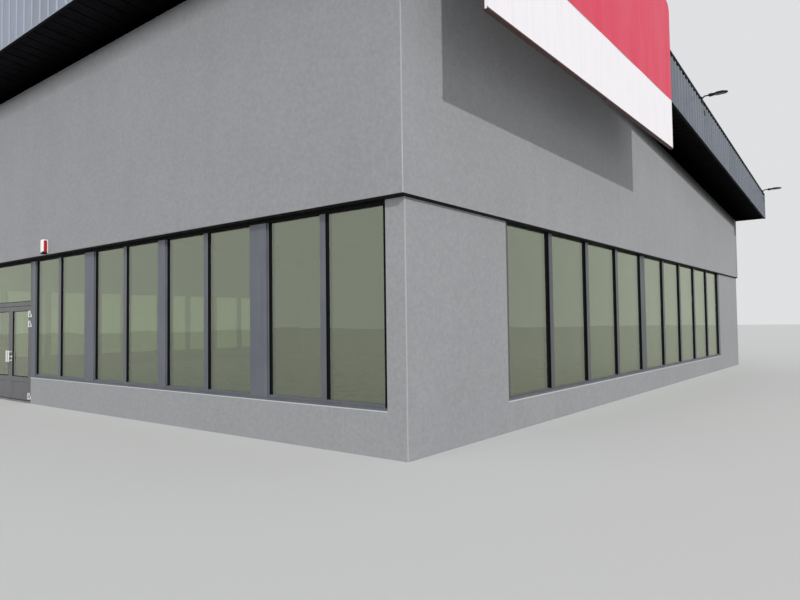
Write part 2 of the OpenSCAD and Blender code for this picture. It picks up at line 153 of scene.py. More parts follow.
# %% Finish helper
class Finish:
    """Principled material; its patterns are sized in metres on Object coordinates."""

    def __init__(self, name, roughness=0.5, metallic=0.0, colour=(0.5, 0.5, 0.5), specular=0.5):
        self.material = bpy.data.materials.new(name)
        self.material.use_nodes = True
        self.tree = self.material.node_tree
        self.shader = self.tree.nodes["Principled BSDF"]
        plain = {"Roughness": roughness, "Metallic": metallic, "Specular IOR Level": specular,
                 "Base Color": (*colour, 1.0)}
        for socket, value in plain.items():
            self.shader.inputs[socket].default_value = value
        self.place = self.tree.nodes.new("ShaderNodeTexCoord").outputs["Object"]
        self.last_bump = None

    def feed(self, socket, value):
        """Links an output, or sets a plain number or colour on the socket itself."""
        if hasattr(value, "links"):
            self.tree.links.new(value, socket)
        elif isinstance(value, tuple):
            without_alpha = len(value) == 3 and len(socket.default_value) == 4
            socket.default_value = (*value, 1.0) if without_alpha else value
        else:
            socket.default_value = value

    def add(self, kind, settings=None, **inputs):
        """New node with its settings, and its inputs fed by name."""
        node = self.tree.nodes.new(kind)
        for key, value in (settings or {}).items():
            setattr(node, key, value)
        for key, value in inputs.items():
            self.feed(node.inputs[key.replace("_", " ")], value)
        return node

    def noise(self, size, detail=3.0, rough=0.55, stretch=(1.0, 1.0, 1.0)):
        """Smooth random pattern whose patches measure about the given size; a stretch above 1 makes them
        longer that way."""
        where = self.add("ShaderNodeMapping", Vector=self.place, Scale=tuple(1.0 / s for s in stretch))
        node = self.add("ShaderNodeTexNoise", Vector=where.outputs["Vector"], Scale=1.0 / size, Detail=detail,
                        Roughness=rough)
        return node.outputs["Fac"]

    def grains(self, size):
        """Distance to the nearest of scattered points that lie about the given size apart."""
        return self.add("ShaderNodeTexVoronoi", Vector=self.place, Scale=1.0 / size).outputs["Distance"]

    def axis(self, name):
        """One Object coordinate, in metres."""
        return self.add("ShaderNodeSeparateXYZ", Vector=self.place).outputs[name]

    def spread(self, value, low, high, to_low=0.0, to_high=1.0):
        """Moves the range low to high onto to_low to to_high, and holds it there."""
        node = self.add("ShaderNodeMapRange", Value=value, From_Min=low, From_Max=high, To_Min=to_low,
                        To_Max=to_high)
        return node.outputs["Result"]

    def maths(self, operation, *numbers):
        """One arithmetic step on numbers or outputs."""
        node = self.add("ShaderNodeMath", {"operation": operation})
        for socket, number in zip(node.inputs, numbers):
            self.feed(socket, number)
        return node.outputs[0]

    def mix(self, factor, low, high):
        """Colour between low and high."""
        node = self.add("ShaderNodeMix", {"data_type": "RGBA"})
        self.feed(node.inputs["Factor"], factor)
        self.feed(node.inputs[6], low)
        self.feed(node.inputs[7], high)
        return node.outputs[2]

    def toned(self, colour, factor):
        """Colour times a number that changes over the surface."""
        grey = self.add("ShaderNodeCombineColor", Red=factor, Green=factor, Blue=factor)
        node = self.add("ShaderNodeMix", {"data_type": "RGBA", "blend_type": "MULTIPLY"})
        for socket, value in (("Factor", 1.0), (6, colour), (7, grey.outputs[0])):
            self.feed(node.inputs[socket], value)
        return node.outputs[2]

    def blend(self, share, one, other):
        """Mix of two shaders: one at share 0, the other at share 1."""
        node = self.add("ShaderNodeMixShader", Fac=share)
        self.feed(node.inputs[1], one)
        self.feed(node.inputs[2], other)
        return node.outputs[0]

    def colour(self, value):
        """Feeds the base colour."""
        self.feed(self.shader.inputs["Base Color"], value)

    def roughness(self, value):
        """Feeds the roughness."""
        self.feed(self.shader.inputs["Roughness"], value)

    def relief(self, height, depth, strength=1.0):
        """Adds a bump of the given depth in metres on top of the ones before."""
        node = self.add("ShaderNodeBump", Height=height, Distance=depth, Strength=strength)
        if self.last_bump is not None:
            self.tree.links.new(self.last_bump.outputs["Normal"], node.inputs["Normal"])
        self.tree.links.new(node.outputs["Normal"], self.shader.inputs["Normal"])
        self.last_bump = node


def shaded(tone, share):
    """The tone times a factor: darker below 1, paler above."""
    return tuple(c * share for c in tone)


print("finish helper ready")

# %% [markdown]
# ## Rendered walls
# Thin-coat render is cement with sand of 1.5 to 2 mm, rubbed round with a float. From a few metres it is an
# even grey with faint clouds where it dried at different speeds, and with a soft grain. Two noises give the
# clouds and one field of grains gives the sand, in colour as well as in relief, because pits hold dust and
# crests wear pale. Right below a soffit the colour of the upper walls darkens: painted shade of the canopy.

# %% Rendered walls
SAND = 0.0042
CLOUD = 1.7
PATCH = 0.055
RUN_MARK = 0.35


def rendered_wall(name, tone, clouds=0.050, soffit=None, soffit_shade=(0.42, 0.36, 1.0)):
    """Grey float-finished render: sand grains, clouds of drying, and faint run marks down the wall. A
    soffit is given as its height at a place along Y and its fall, and below it the colour darkens as a
    painted shade: the last argument gives how deep, the tone at the soffit and the power with which it fades."""
    coat = Finish(name, roughness=0.92, specular=0.25)
    cloud = coat.noise(CLOUD, detail=5.0, rough=0.6)
    patch = coat.noise(PATCH, detail=4.0, rough=0.65)
    runs = coat.noise(RUN_MARK, detail=2.0, stretch=(1.0, 1.0, 9.0))
    sand = coat.grains(SAND)
    shade = coat.maths("ADD", coat.maths("MULTIPLY", cloud, 0.26), coat.maths("MULTIPLY", patch, 0.64))
    shade = coat.maths("ADD", shade, coat.maths("MULTIPLY", runs, 0.10))
    skin = coat.mix(coat.spread(shade, 0.36, 0.64), shaded(tone, 1.0 - clouds * 2.2),
                    shaded(tone, 1.0 + clouds * 1.6))
    skin = coat.toned(skin, coat.spread(sand, 0.1, 0.62, 0.88, 1.05))
    # Painted shade: the colour darkens towards the soffit, in place of the shade under the canopy.
    if soffit:
        height, start, fall = soffit
        ceiling = coat.maths("MULTIPLY_ADD", coat.axis("Y"), -fall, height + fall * start)
        below = coat.maths("SUBTRACT", ceiling, coat.axis("Z"))
        rough_edge = coat.maths("MULTIPLY_ADD", coat.noise(0.25, detail=3.0), 0.06, -0.03)
        fade = coat.maths("POWER", coat.spread(coat.maths("ADD", below, rough_edge), 0.0, soffit_shade[0]), soffit_shade[2])
        skin = coat.toned(skin, coat.spread(fade, 0.0, 1.0, soffit_shade[1], 1.0))
    coat.colour(skin)
    coat.roughness(coat.spread(patch, 0.3, 0.7, 0.86, 0.97))
    coat.relief(coat.noise(0.30, detail=3.0), 0.004, 0.35)
    coat.relief(sand, 0.0016, 0.75)
    return coat.material


LOWER_RENDER = rendered_wall("lower_render", (0.324, 0.330, 0.341))
print("render finish made")

# %% [markdown]
# ## Coated metal
# Window frames, pilaster covers and sheets are coated in a factory. The coat has a fine orange-peel skin,
# it is a little uneven in gloss where dust has settled, and each sheet of a row was rolled at another time,
# so its tone differs by a few parts in a hundred. The violet cast of the anthracite frames is in the base
# colour.

# %% Coated metal
DUST_TONE = (0.42, 0.40, 0.37)


def coated_metal(name, tone, gloss=0.42, dust=0.10, peel=0.0016, sheets=0.0, along="X", specular=0.5):
    """Powder coat on metal: orange peel, cloudy gloss, dust in streaks, and a tone step from sheet to
    sheet."""
    coat = Finish(name, roughness=gloss, specular=specular)
    dust_and_light = tuple(c * (1.0 - dust) + dust * d for c, d in zip(tone, DUST_TONE))
    streak = coat.noise(0.10, detail=4.0, stretch=(1.0, 1.0, 14.0))
    cloud = coat.noise(0.6, detail=4.0)
    film = coat.spread(coat.maths("MULTIPLY", streak, cloud), 0.16, 0.42)
    skin = coat.mix(film, coat.mix(coat.noise(0.05, detail=2.0), shaded(tone, 0.90), tone), dust_and_light)
    if sheets > 0.0:
        step = coat.maths("FLOOR", coat.maths("DIVIDE", coat.axis(along), sheets))
        chance = coat.add("ShaderNodeTexWhiteNoise", {"noise_dimensions": "1D"}, W=step)
        skin = coat.toned(skin, coat.spread(chance.outputs["Value"], 0.0, 1.0, 0.93, 1.06))
    coat.colour(skin)
    coat.roughness(coat.spread(cloud, 0.3, 0.7, gloss - 0.07, gloss + 0.14))
    coat.relief(coat.noise(0.45, detail=2.0), 0.006, 0.25)
    coat.relief(coat.noise(peel, detail=1.0), 0.00012, 0.6)
    return coat.material


PILASTER = coated_metal("pilaster_coat", (0.109, 0.116, 0.144), gloss=0.38, dust=0.08)
FRAME = coated_metal("frame_coat", (0.104, 0.111, 0.132), gloss=0.36, dust=0.08)
SIDE_FRAME = coated_metal("side_frame_coat", (0.068, 0.073, 0.082), gloss=0.40, dust=0.07)
DOOR_FRAME = coated_metal("door_coat", (0.104, 0.104, 0.112), gloss=0.38, dust=0.10)
# The front fascia's coat is paler than the side sheet's: a painted reflection on the front sheet.
FRONT_SHEET_PAINTED_REFLECTION = coated_metal("front_fascia_painted_reflection", (0.240, 0.272, 0.345), gloss=0.34, dust=0.07, sheets=0.987)
SIDE_SHEET = coated_metal("side_fascia_coat", (0.116, 0.134, 0.172), gloss=0.40, dust=0.07, sheets=0.96,
                          along="Y")
ROOF_SHEET = coated_metal("roof_sheet_coat", (0.235, 0.240, 0.250), gloss=0.62, dust=0.16, sheets=0.92,
                          specular=0.30)
CAP_TRIM = coated_metal("cap_coat", (0.0040, 0.0045, 0.0075), gloss=0.65, dust=0.002, specular=0.08)
DRIP_TRIM = coated_metal("drip_coat", (0.30, 0.32, 0.37), gloss=0.38, dust=0.10)
SIGN_STEEL = coated_metal("sign_steel_paint", (0.060, 0.018, 0.016), gloss=0.48, dust=0.05)
LAMP_METAL = coated_metal("lamp_paint", (0.0085, 0.0100, 0.0170), gloss=0.55, dust=0.006, specular=0.20)
HINGE_METAL = coated_metal("hinge_coat", (0.86, 0.86, 0.85), gloss=0.30, dust=0.04)
print("coated finishes made")

# %% [markdown]
# ## Rubber, steel and plastic
# Gaskets are matt black rubber with a bloom of dust. The pulls are brushed steel, whose fine scratches run
# one way and stretch the highlight. The siren is moulded plastic that has yellowed a little, and its lens
# is clear red plastic with depth. Each is the same class with other patterns.

# %% Rubber, steel and plastic
def rubber(name, tone=(0.0036, 0.0036, 0.0040)):
    """Black gasket: a dusty bloom in patches over a matt skin with a fine tooth."""
    skin = Finish(name, roughness=0.72, specular=0.08)
    bloom = skin.spread(skin.noise(0.07, detail=5.0, stretch=(1.0, 1.0, 5.0)), 0.45, 0.75)
    skin.colour(skin.mix(bloom, tone, tuple(c + 0.003 for c in tone)))
    skin.roughness(skin.spread(bloom, 0.0, 1.0, 0.62, 0.86))
    skin.relief(skin.noise(0.0022, detail=2.0), 0.0002, 0.5)
    return skin.material


def brushed_steel(name, tone=(0.86, 0.86, 0.85)):
    """Bright satin bar: long fine scratches up the bar and dull finger marks."""
    metal = Finish(name, roughness=0.40, metallic=0.35, colour=tone)
    scratch = metal.noise(0.0016, detail=3.0, stretch=(1.0, 1.0, 60.0))
    marks = metal.spread(metal.noise(0.045, detail=3.0), 0.42, 0.66)
    metal.colour(metal.mix(marks, tone, shaded(tone, 0.88)))
    metal.roughness(metal.spread(metal.maths("ADD", scratch, marks), 0.5, 1.4, 0.30, 0.50))
    metal.relief(scratch, 0.00008, 0.6)
    return metal.material


def moulded_plastic(name, tone, gloss=0.35, yellow=0.06):
    """Moulded housing: fine grained skin, slightly yellowed, with run marks of dust."""
    skin = Finish(name, roughness=gloss)
    aged = (tone[0], tone[1] * (1.0 - yellow), tone[2] * (1.0 - 3.0 * yellow))
    runs = skin.spread(skin.noise(0.02, detail=4.0, stretch=(1.0, 1.0, 10.0)), 0.42, 0.70)
    skin.colour(skin.mix(runs, tone, aged))
    skin.roughness(skin.spread(skin.noise(0.05, detail=3.0), 0.3, 0.7, gloss - 0.05, gloss + 0.15))
    skin.relief(skin.grains(0.0012), 0.00010, 0.6)
    return skin.material


GASKET = rubber("gasket_rubber")
# The black of the head covers and the starter track is partly painted shade under the upper wall.
HEAD_COVER_AND_SHADE = rubber("head_cover_black_and_shade", (0.0042, 0.0038, 0.0036))
PULL_STEEL = brushed_steel("pull_steel")
SIREN_WHITE = moulded_plastic("siren_plastic", (0.90, 0.89, 0.88), yellow=0.02)
SIREN_RED = moulded_plastic("siren_lens_red", (0.42, 0.0050, 0.018), gloss=0.16, yellow=0.0)
SIREN_RED.node_tree.nodes["Principled BSDF"].inputs["Coat Weight"].default_value = 0.3
LAMP_GLASS = moulded_plastic("lamp_lens", (0.16, 0.165, 0.17), gloss=0.20, yellow=0.03)
CORNER_BEAD = coated_metal("corner_bead", (0.44, 0.445, 0.455), gloss=0.50, dust=0.05)
# Painted highlight: the pale bead under the sill stands for the sill's lit edge.
HIGHLIGHT_BEAD = coated_metal("highlight_bead", (0.60, 0.605, 0.61), gloss=0.50, dust=0.05)
print("rubber, steel and plastic made")

# %% [markdown]
# ## Glass
# The panes are sun glass: a thin coat turns about a quarter of the light back at any angle, and more at a
# flat angle, and what comes through is tinted green. A pane that lets the lamps through is a mix of a
# transparent and a glossy shader. Every ray crosses two faces of a pane, so each face holds back only part.
# The share at a flat angle grows with the fifth power of one minus the cosine, which is the same from
# inside and outside. Sheets are never quite flat, and a long low wave in the relief bends the reflections
# as real panes do.

# %% Glass
def sun_glass(name, through=(0.62, 0.67, 0.56), back=(0.93, 0.98, 0.80), mirror=0.22, dirt=0.03):
    """Coated pane: transparent tint and gloss mixed by a fixed share that grows at flat angles, with a film
    of dust."""
    pane = Finish(name, roughness=0.6, colour=(0.34, 0.33, 0.29))
    clear = pane.add("ShaderNodeBsdfTransparent", Color=through)
    wave = pane.add("ShaderNodeBump", Height=pane.noise(1.10, detail=0.0), Distance=0.008, Strength=0.40)
    gloss = pane.add("ShaderNodeBsdfGlossy", Color=back, Roughness=0.012, Normal=wave.outputs["Normal"])
    edge = pane.add("ShaderNodeLayerWeight", Blend=0.5)
    grazing = pane.maths("POWER", edge.outputs["Facing"], 5.0)
    glazed = pane.blend(pane.spread(grazing, 0.0, 1.0, mirror, 1.0), clear.outputs[0], gloss.outputs[0])
    grime = pane.noise(0.60, detail=3.0, rough=0.5, stretch=(1.0, 1.0, 2.5))
    film = pane.spread(grime, 0.40, 0.80, 0.004, dirt)
    dusted = pane.blend(film, glazed, pane.shader.outputs[0])
    pane.feed(pane.tree.nodes["Material Output"].inputs["Surface"], dusted)
    return pane.material


WINDOW_GLASS = sun_glass("window_sun_glass")
DOOR_GLASS = sun_glass("door_sun_glass", through=(0.70, 0.74, 0.66), mirror=0.20, dirt=0.04)
print("glass made")

# %% [markdown]
# ## Floor and underside of the roof
# Through the panes one sees a tiled floor and the roof deck from below. Tiles are 60 cm squares with a grey
# joint, and each tile has a slightly different tone. A grid of lines can be worked out from the coordinates
# alone, which keeps it to scale on any size of floor.

# %% Floor and underside of the roof
TILE = 0.60
JOINT = 0.006


def floor_tiles(name, tone=(0.36, 0.35, 0.33)):
    """Square tiles: a tone by tile, joints darker and lower, fine speckle and scuffed gloss."""
    floor = Finish(name, roughness=0.35)
    edges = [floor.maths("LESS_THAN", floor.maths("PINGPONG", floor.axis(side), TILE / 2.0), JOINT / 2.0)
             for side in ("X", "Y")]
    joint = floor.maths("MAXIMUM", *edges)
    cell = floor.add("ShaderNodeVectorMath", {"operation": "SNAP"})
    floor.feed(cell.inputs[0], floor.place)
    floor.feed(cell.inputs[1], (TILE, TILE, 10.0))
    chance = floor.add("ShaderNodeTexWhiteNoise", {"noise_dimensions": "3D"}, Vector=cell.outputs[0])
    pale = shaded(tone, 1.12)
    tile = floor.mix(chance.outputs["Value"], tone, pale)
    speck = floor.mix(floor.spread(floor.noise(0.006, detail=3.0), 0.45, 0.62), shaded(tone, 0.8), pale)
    stone = floor.mix(0.35, tile, speck)
    floor.colour(floor.mix(joint, stone, (0.12, 0.118, 0.112)))
    floor.roughness(floor.spread(floor.noise(0.5, detail=5.0), 0.35, 0.7, 0.24, 0.55))
    floor.relief(floor.spread(joint, 0.0, 1.0, 1.0, 0.0), 0.002, 0.8)
    return floor.material


def trodden_metal(name, tone=(0.20, 0.20, 0.205)):
    """Threshold of ribbed aluminium: fine ribs along the way in, worn bright in patches."""
    plate = Finish(name, roughness=0.42, metallic=0.85)
    worn = plate.spread(plate.noise(0.35, detail=4.0), 0.38, 0.66)
    plate.colour(plate.mix(worn, tone, shaded(tone, 1.7)))
    plate.roughness(plate.spread(worn, 0.0, 1.0, 0.55, 0.34))
    ribs = plate.add("ShaderNodeTexWave", {"wave_type": "BANDS", "bands_direction": "Y"},
                     Vector=plate.place, Scale=16.0, Distortion=0.0)
    plate.relief(ribs.outputs["Fac"], 0.002, 0.8)
    return plate.material


FLOOR_FINISH = floor_tiles("hall_tiles")
THRESHOLD_FINISH = trodden_metal("threshold_aluminium")
DECK_FINISH = coated_metal("deck_coat", (0.30, 0.30, 0.295), gloss=0.50, dust=0.05)
print("floor and deck finishes made")

# %% [markdown]
# ## Shapes
# Trims, gaskets, sheets and tubes are all the same kind of shape: a closed outline carried from station to
# station. One function, `loft`, joins such rings into a shell from a single array of stations, ring points
# and XYZ. The sign of the enclosed volume tells whether the faces point outwards, so mirrored shells come
# out right without any guess. Many shells are joined into one mesh for a piece.

# %% Shapes
def surface(grid, wrap_u=False, wrap_v=False):
    """Quads between neighbours in a grid of points with rows along u and columns along v; a wrapped
    direction also joins its last line to its first."""
    rows, columns = grid.shape[:2]
    index = np.arange(rows * columns).reshape(rows, columns)
    if wrap_u:
        index = np.concatenate([index, index[:1]], axis=0)
    if wrap_v:
        index = np.concatenate([index, index[:, :1]], axis=1)
    quads = np.stack([index[:-1, :-1], index[1:, :-1], index[1:, 1:], index[:-1, 1:]], axis=-1)
    return grid.reshape(-1, 3), quads.reshape(-1, 4)


def enclosed(points, faces):
    """Volume inside closed faces: a sixth of the sum of corner triple products over fans of triangles."""
    total = 0.0
    for group in faces:
        corner = points[group]
        fans = np.cross(corner[:, 1:-1], corner[:, 2:])
        total += float((corner[:, :1] * fans).sum()) / 6.0
    return total


def loft(rings, closed=False):
    """Shell through rings of the same number of points. An open row of rings is capped at both ends, and a
    shell whose volume comes out negative has its faces turned round."""
    rings = np.asarray(rings, float)
    points, quads = surface(rings, wrap_u=closed, wrap_v=True)
    faces = [quads]
    if not closed:
        size = rings.shape[1]
        faces.append(np.arange(size)[None, :])
        faces.append(np.arange(len(points) - 1, len(points) - 1 - size, -1)[None, :])
    if enclosed(points - points.mean(0), faces) < 0.0:
        faces = [group[:, ::-1] for group in faces]
    return points, faces


def make_piece(name, shells, finish, body="building", smooth=35.0, replaces=()):
    """Joins shells into one mesh object at the origin, gives it its finish, and hangs it on its body."""
    counts = np.array([len(points) for points, faces in shells])
    starts = np.concatenate([[0], np.cumsum(counts)[:-1]])
    corners = np.concatenate([points for points, faces in shells])
    loops = [(group + start).tolist() for (points, faces), start in zip(shells, starts) for group in faces]
    mesh = bpy.data.meshes.new(name)
    mesh.from_pydata(corners.tolist(), [], [face for group in loops for face in group])
    mesh.validate()
    mesh.materials.append(finish)
    mesh.shade_smooth()
    mesh.set_sharp_from_angle(angle=radians(smooth))
    piece = bpy.data.objects.new(name, mesh)
    bpy.context.scene.collection.objects.link(piece)
    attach(piece, body)
    if replaces:
        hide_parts(*replaces)
    low, high = corners.min(0), corners.max(0)
    print(name, "faces", len(mesh.polygons), "from", np.round(low, 3), "to", np.round(high, 3))
    return piece


print("shells can be lofted and joined into pieces")

# %% [markdown]
# ## Strips, blocks and tubes
# Most trims follow a wall, so their outlines are drawn as a place along the wall, a height and a distance
# outwards, and one small function for each wall turns these into XYZ. The others are frames with mitred
# corners, angles round a corner, blocks with a chamfer that catches the light, and round bars. Strips sink a
# millimetre into what carries them, so no gap shows, and keep half a millimetre from what they only pass.

# %% Strips, blocks and tubes
def on_front(plane, facing=1):
    """Places (across, up, out) on a wall that faces -Y at the given depth, or +Y when facing is -1."""
    return lambda across, up, out: np.stack([across, plane - facing * out, up], axis=-1)


def on_side(plane, side=1):
    """Places (across, up, out) on a wall that faces +X, or -X when side is -1."""
    return lambda across, up, out: np.stack([side * (plane + out), across, up], axis=-1)


def inset_corners(x0, x1, y0, y1, insets):
    """The four corners of a rectangle, each moved in by every inset along both edges, so a corner is
    mitred."""
    corner = np.array([[x0, y0], [x1, y0], [x1, y1], [x0, y1]])
    inward = np.array([[1, 1], [-1, 1], [-1, -1], [1, -1]])
    return corner[:, None] + inward[:, None] * insets[:, None]


def rim(x0, x1, z0, z1, profile, place):
    """Frame round a rectangle with mitred corners: each profile point is an inset from the rectangle's edge
    and a distance outwards."""
    profile = np.asarray(profile, float)
    across, up = np.moveaxis(inset_corners(x0, x1, z0, z1, profile[:, 0]), -1, 0)
    return loft(place(across, up, np.broadcast_to(profile[:, 1], up.shape)), closed=True)


def rail(x, y, z):
    """Points along a strip, one at each station; a plain number is repeated at every station."""
    return np.column_stack(np.broadcast_arrays(x, y, z))


def both_ends(start, end, profile):
    """Three arrays with a row for each end of a strip: its place, and the profile's first and second
    number."""
    profile = np.asarray(profile, float)
    return np.broadcast_arrays(np.array([[start], [end]], float), profile[:, 0], profile[:, 1])


def level_strip(a0, a1, profile, place):
    """Straight strip from a0 to a1 whose profile points are a height and a distance outwards."""
    return loft(place(*both_ends(a0, a1, profile)))


def upright_strip(z0, z1, profile, place):
    """Straight strip from the height z0 to z1 whose profile points are a place across and one outwards."""
    up, across, out = both_ends(z0, z1, profile)
    return loft(place(across, up, out))


def upright_angle(x, y, legs, z0, z1):
    """Folded strip round the corner of two walls at x and y: the legs are offsets, positive away from the
    building, and z0 and z1 are its ends."""
    east, north = (np.array([x, y]) + np.asarray(legs) * np.sign([x, y])).T
    return loft([rail(east, north, z) for z in (z0, z1)])


def soft_block(low, high, edge):
    """Box with chamfered edges: a chamfered rectangle as ring, drawn in by the chamfer at both ends."""
    low, high = np.asarray(low, float), np.asarray(high, float)
    def ring(inset, x):
        y0, y1, z0, z1 = low[1] + inset, high[1] - inset, low[2] + inset, high[2] - inset
        yz = [(y0 + edge, z0), (y1 - edge, z0), (y1, z0 + edge), (y1, z1 - edge),
              (y1 - edge, z1), (y0 + edge, z1), (y0, z1 - edge), (y0, z0 + edge)]
        return [(x, y, z) for y, z in yz]
    ends = ((edge, low[0]), (0.0, low[0] + edge), (0.0, high[0] - edge), (edge, high[0]))
    return loft([ring(inset, x) for inset, x in ends])


def tube(path, radius, sides=16):
    """Round tube along a path: each ring lies square to the mean direction of its two neighbours, and its
    radius may change from point to point."""
    path = np.asarray(path, float)
    radius = np.broadcast_to(np.asarray(radius, float), len(path))
    along = np.gradient(path, axis=0)
    along /= np.linalg.norm(along, axis=1, keepdims=True)
    guide = np.array([0.30, 0.81, 0.50])
    first = np.cross(along, guide)
    first /= np.linalg.norm(first, axis=1, keepdims=True)
    second = np.cross(along, first)
    turn = np.linspace(0.0, 2.0 * pi, sides, endpoint=False)
    ring = first[:, None] * np.cos(turn)[None, :, None] + second[:, None] * np.sin(turn)[None, :, None]
    return loft(path[:, None] + ring * radius[:, None, None])


def rib_line(start, end, pitch, foot, crest):
    """Stations along a ribbed sheet and the rise there, 0 in a pan and 1 on a rib: four stations a rib,
    with the pitch stretched so that whole pans fit."""
    count = max(1, round((end - start) / pitch))
    step = (end - start) / count
    middle = start + step * (np.arange(count) + 0.5)
    stations = (middle[:, None] + np.array([-foot, -crest, crest, foot]) / 2.0).ravel()
    rise = np.tile([0.0, 1.0, 1.0, 0.0], count)
    return np.concatenate([[start], stations, [end]]), np.concatenate([[0.0], rise, [0.0]])


def quarter_turn(count):
    """Angles from 0 to 90 degrees in equal steps."""
    return np.linspace(0.0, pi / 2.0, count)


def span(side, a, b):
    """Two distances from the building's middle as a stretch of X on the given side, low end first."""
    return sorted((side * a, side * b))


SIDES = ((1, "right"), (-1, "left"))
SINK = 0.001
HAIR = 0.0005
print("strips sink", SINK, "m into what carries them and keep", HAIR, "m from what they only pass")

# %% [markdown]
# ## Plan of the building
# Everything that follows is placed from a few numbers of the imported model. They are read from the boxes of
# the nodes, so the dressing stays with the walls. The soffit and the roof fall towards the back at their
# own rates, and both rates come from the boxes of the canopy.

# %% Plan of the building
SOFFIT_T = 0.05
low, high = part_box("front_upper_wall")
HALF_W = high.x
FRONT_Y = low.y
UPPER_Z = low.z
BACK_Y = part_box("back_upper_wall")[1].y
LOWER_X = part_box("back_wall")[1].x
LOWER_FRONT_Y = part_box("front_wall_right")[0].y
LOWER_BACK_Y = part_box("back_wall")[1].y
low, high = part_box("side_fascia_right")
FASCIA_X = high.x
FASCIA_T = high.x - low.x
FASCIA_FRONT_Y = low.y
FASCIA_BACK_Y = high.y
low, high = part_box("side_soffit_right")
SOFFIT_FRONT_Z = high.z - SOFFIT_T
SOFFIT_FALL = (SOFFIT_FRONT_Z - low.z) / (BACK_Y - FRONT_Y)
EAVES_HIGH_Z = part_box("front_fascia")[1].z
ROOF_FALL = (EAVES_HIGH_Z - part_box("back_fascia")[1].z) / (BACK_Y - FASCIA_FRONT_Y)


def soffit_z(y):
    """Underside of the canopy: level at the front wall, falling at an even rate to the back."""
    return SOFFIT_FRONT_Z - SOFFIT_FALL * (y - FRONT_Y)


def eaves_z(y):
    """Upper edge of the fascia: highest at the front edge, falling at an even rate to the back."""
    return EAVES_HIGH_Z - ROOF_FALL * (y - FASCIA_FRONT_Y)


SOFFIT_LINE = (SOFFIT_FRONT_Z, FRONT_Y, SOFFIT_FALL)
# Both upper walls carry the painted shade under the soffit; on the side wall it is shorter and much darker,
# deepening the canopy's shadow band.
UPPER_RENDER = rendered_wall("upper_render", (0.300, 0.305, 0.316), soffit=SOFFIT_LINE)
SIDE_RENDER = rendered_wall("side_render", (0.306, 0.309, 0.319), soffit=SOFFIT_LINE, soffit_shade=(0.31, 0.04, 2.0))
print("falls", round(SOFFIT_FALL, 4), round(ROOF_FALL, 4), "eaves", round(eaves_z(FRONT_Y), 3))

# %% [markdown]
# ## Soffit finish
# The soffit is black sheet. Its outer pans are grey black, a painted light for the light that reaches
# under the canopy from outside, while the part by the wall stays black; the narrow grooves stay black as
# painted shade. Both come from the place alone: the distance from the wall, and the height above the pans.

# %% Soffit finish
def soffit_coat(name, light_start, dust_and_light, tone, sideways):
    """Black coat that turns to the given tone between two distances from the wall as painted light, and stays
    black in grooves as painted shade; sideways measures the distance along X instead of Y."""
    coat = Finish(name, roughness=0.75, specular=0.0)
    if sideways:
        reach = coat.maths("SUBTRACT", coat.maths("ABSOLUTE", coat.axis("X")), HALF_W)
    else:
        reach = coat.maths("SUBTRACT", FRONT_Y, coat.axis("Y"))
    # Painted light: the pans turn greyer away from the wall.
    film = coat.spread(reach, light_start, dust_and_light)
    pan = coat.maths("MULTIPLY_ADD", coat.axis("Y"), -SOFFIT_FALL, SOFFIT_FRONT_Z + SOFFIT_FALL * FRONT_Y)
    lift = coat.maths("SUBTRACT", coat.axis("Z"), pan)
    # Painted shade: the grooves above the pans keep the black.
    flat = coat.spread(lift, 0.002, 0.012, 1.0, 0.0)
    cloud = coat.spread(coat.noise(0.30, detail=4.0, rough=0.6), 0.3, 0.7, 0.65, 1.15)
    share = coat.maths("MULTIPLY", coat.maths("MULTIPLY", film, flat), cloud)
    coat.colour(coat.mix(share, (0.0007, 0.0007, 0.0008), tone))
    coat.roughness(coat.spread(cloud, 0.65, 1.15, 0.66, 0.84))
    coat.relief(coat.noise(0.0016, detail=1.0), 0.00012, 0.6)
    return coat.material


FRONT_SOFFIT = soffit_coat("front_soffit_coat", 0.12, 0.80, (0.0125, 0.0122, 0.0140), False)
SIDE_SOFFIT = soffit_coat("side_soffit_coat", 0.28, 0.90, (0.0095, 0.0095, 0.0108), True)
print("soffit finishes made")

# %% [markdown]
# ## Finishes on the carried nodes
# The walls, frames, panes and leaves of the model already have the right shape, so they only get their
# finish. Frames and covers are folded or extruded and have no razor edges: a small bevel catches the light.
# The bevel needs shared corners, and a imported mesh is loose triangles, so a Weld modifier comes first.

# %% Finishes on the carried nodes
NODE_FINISHES = [
    ("floor_slab", FLOOR_FINISH), ("threshold", THRESHOLD_FINISH), ("roof_deck", DECK_FINISH),
    ("front_upper_wall", UPPER_RENDER), ("side_upper_wall", SIDE_RENDER), ("back_upper_wall", UPPER_RENDER),
    ("front_wall", LOWER_RENDER), ("side_wall", LOWER_RENDER), ("back_wall", LOWER_RENDER),
    ("pilasters", PILASTER), ("front_frames", FRAME), ("side_frame", SIDE_FRAME),
    ("front_glass", WINDOW_GLASS), ("side_glass", WINDOW_GLASS), ("transom_glass", WINDOW_GLASS),
    ("entrance_frame", DOOR_FRAME), ("door_leaf", DOOR_FRAME), ("door_glass", DOOR_GLASS),
    ("door_hinges", HINGE_METAL), ("door_pull", PULL_STEEL),
    ("front_soffit", FRONT_SOFFIT), ("side_soffit", SIDE_SOFFIT),
    ("front_fascia", FRONT_SHEET_PAINTED_REFLECTION), ("side_fascia", SIDE_SHEET), ("back_fascia", SIDE_SHEET),
    ("sign_board", DRIP_TRIM), ("sign_frame", SIGN_STEEL), ("alarm_siren", SIREN_WHITE),
    ("siren_lens", SIREN_RED), ("floodlights", LAMP_METAL),
]
BEVELLED = ("pilasters", "front_frames", "side_frame", "entrance_frame", "door_leaf", "sign_frame")
EDGE_BEVEL = 0.003

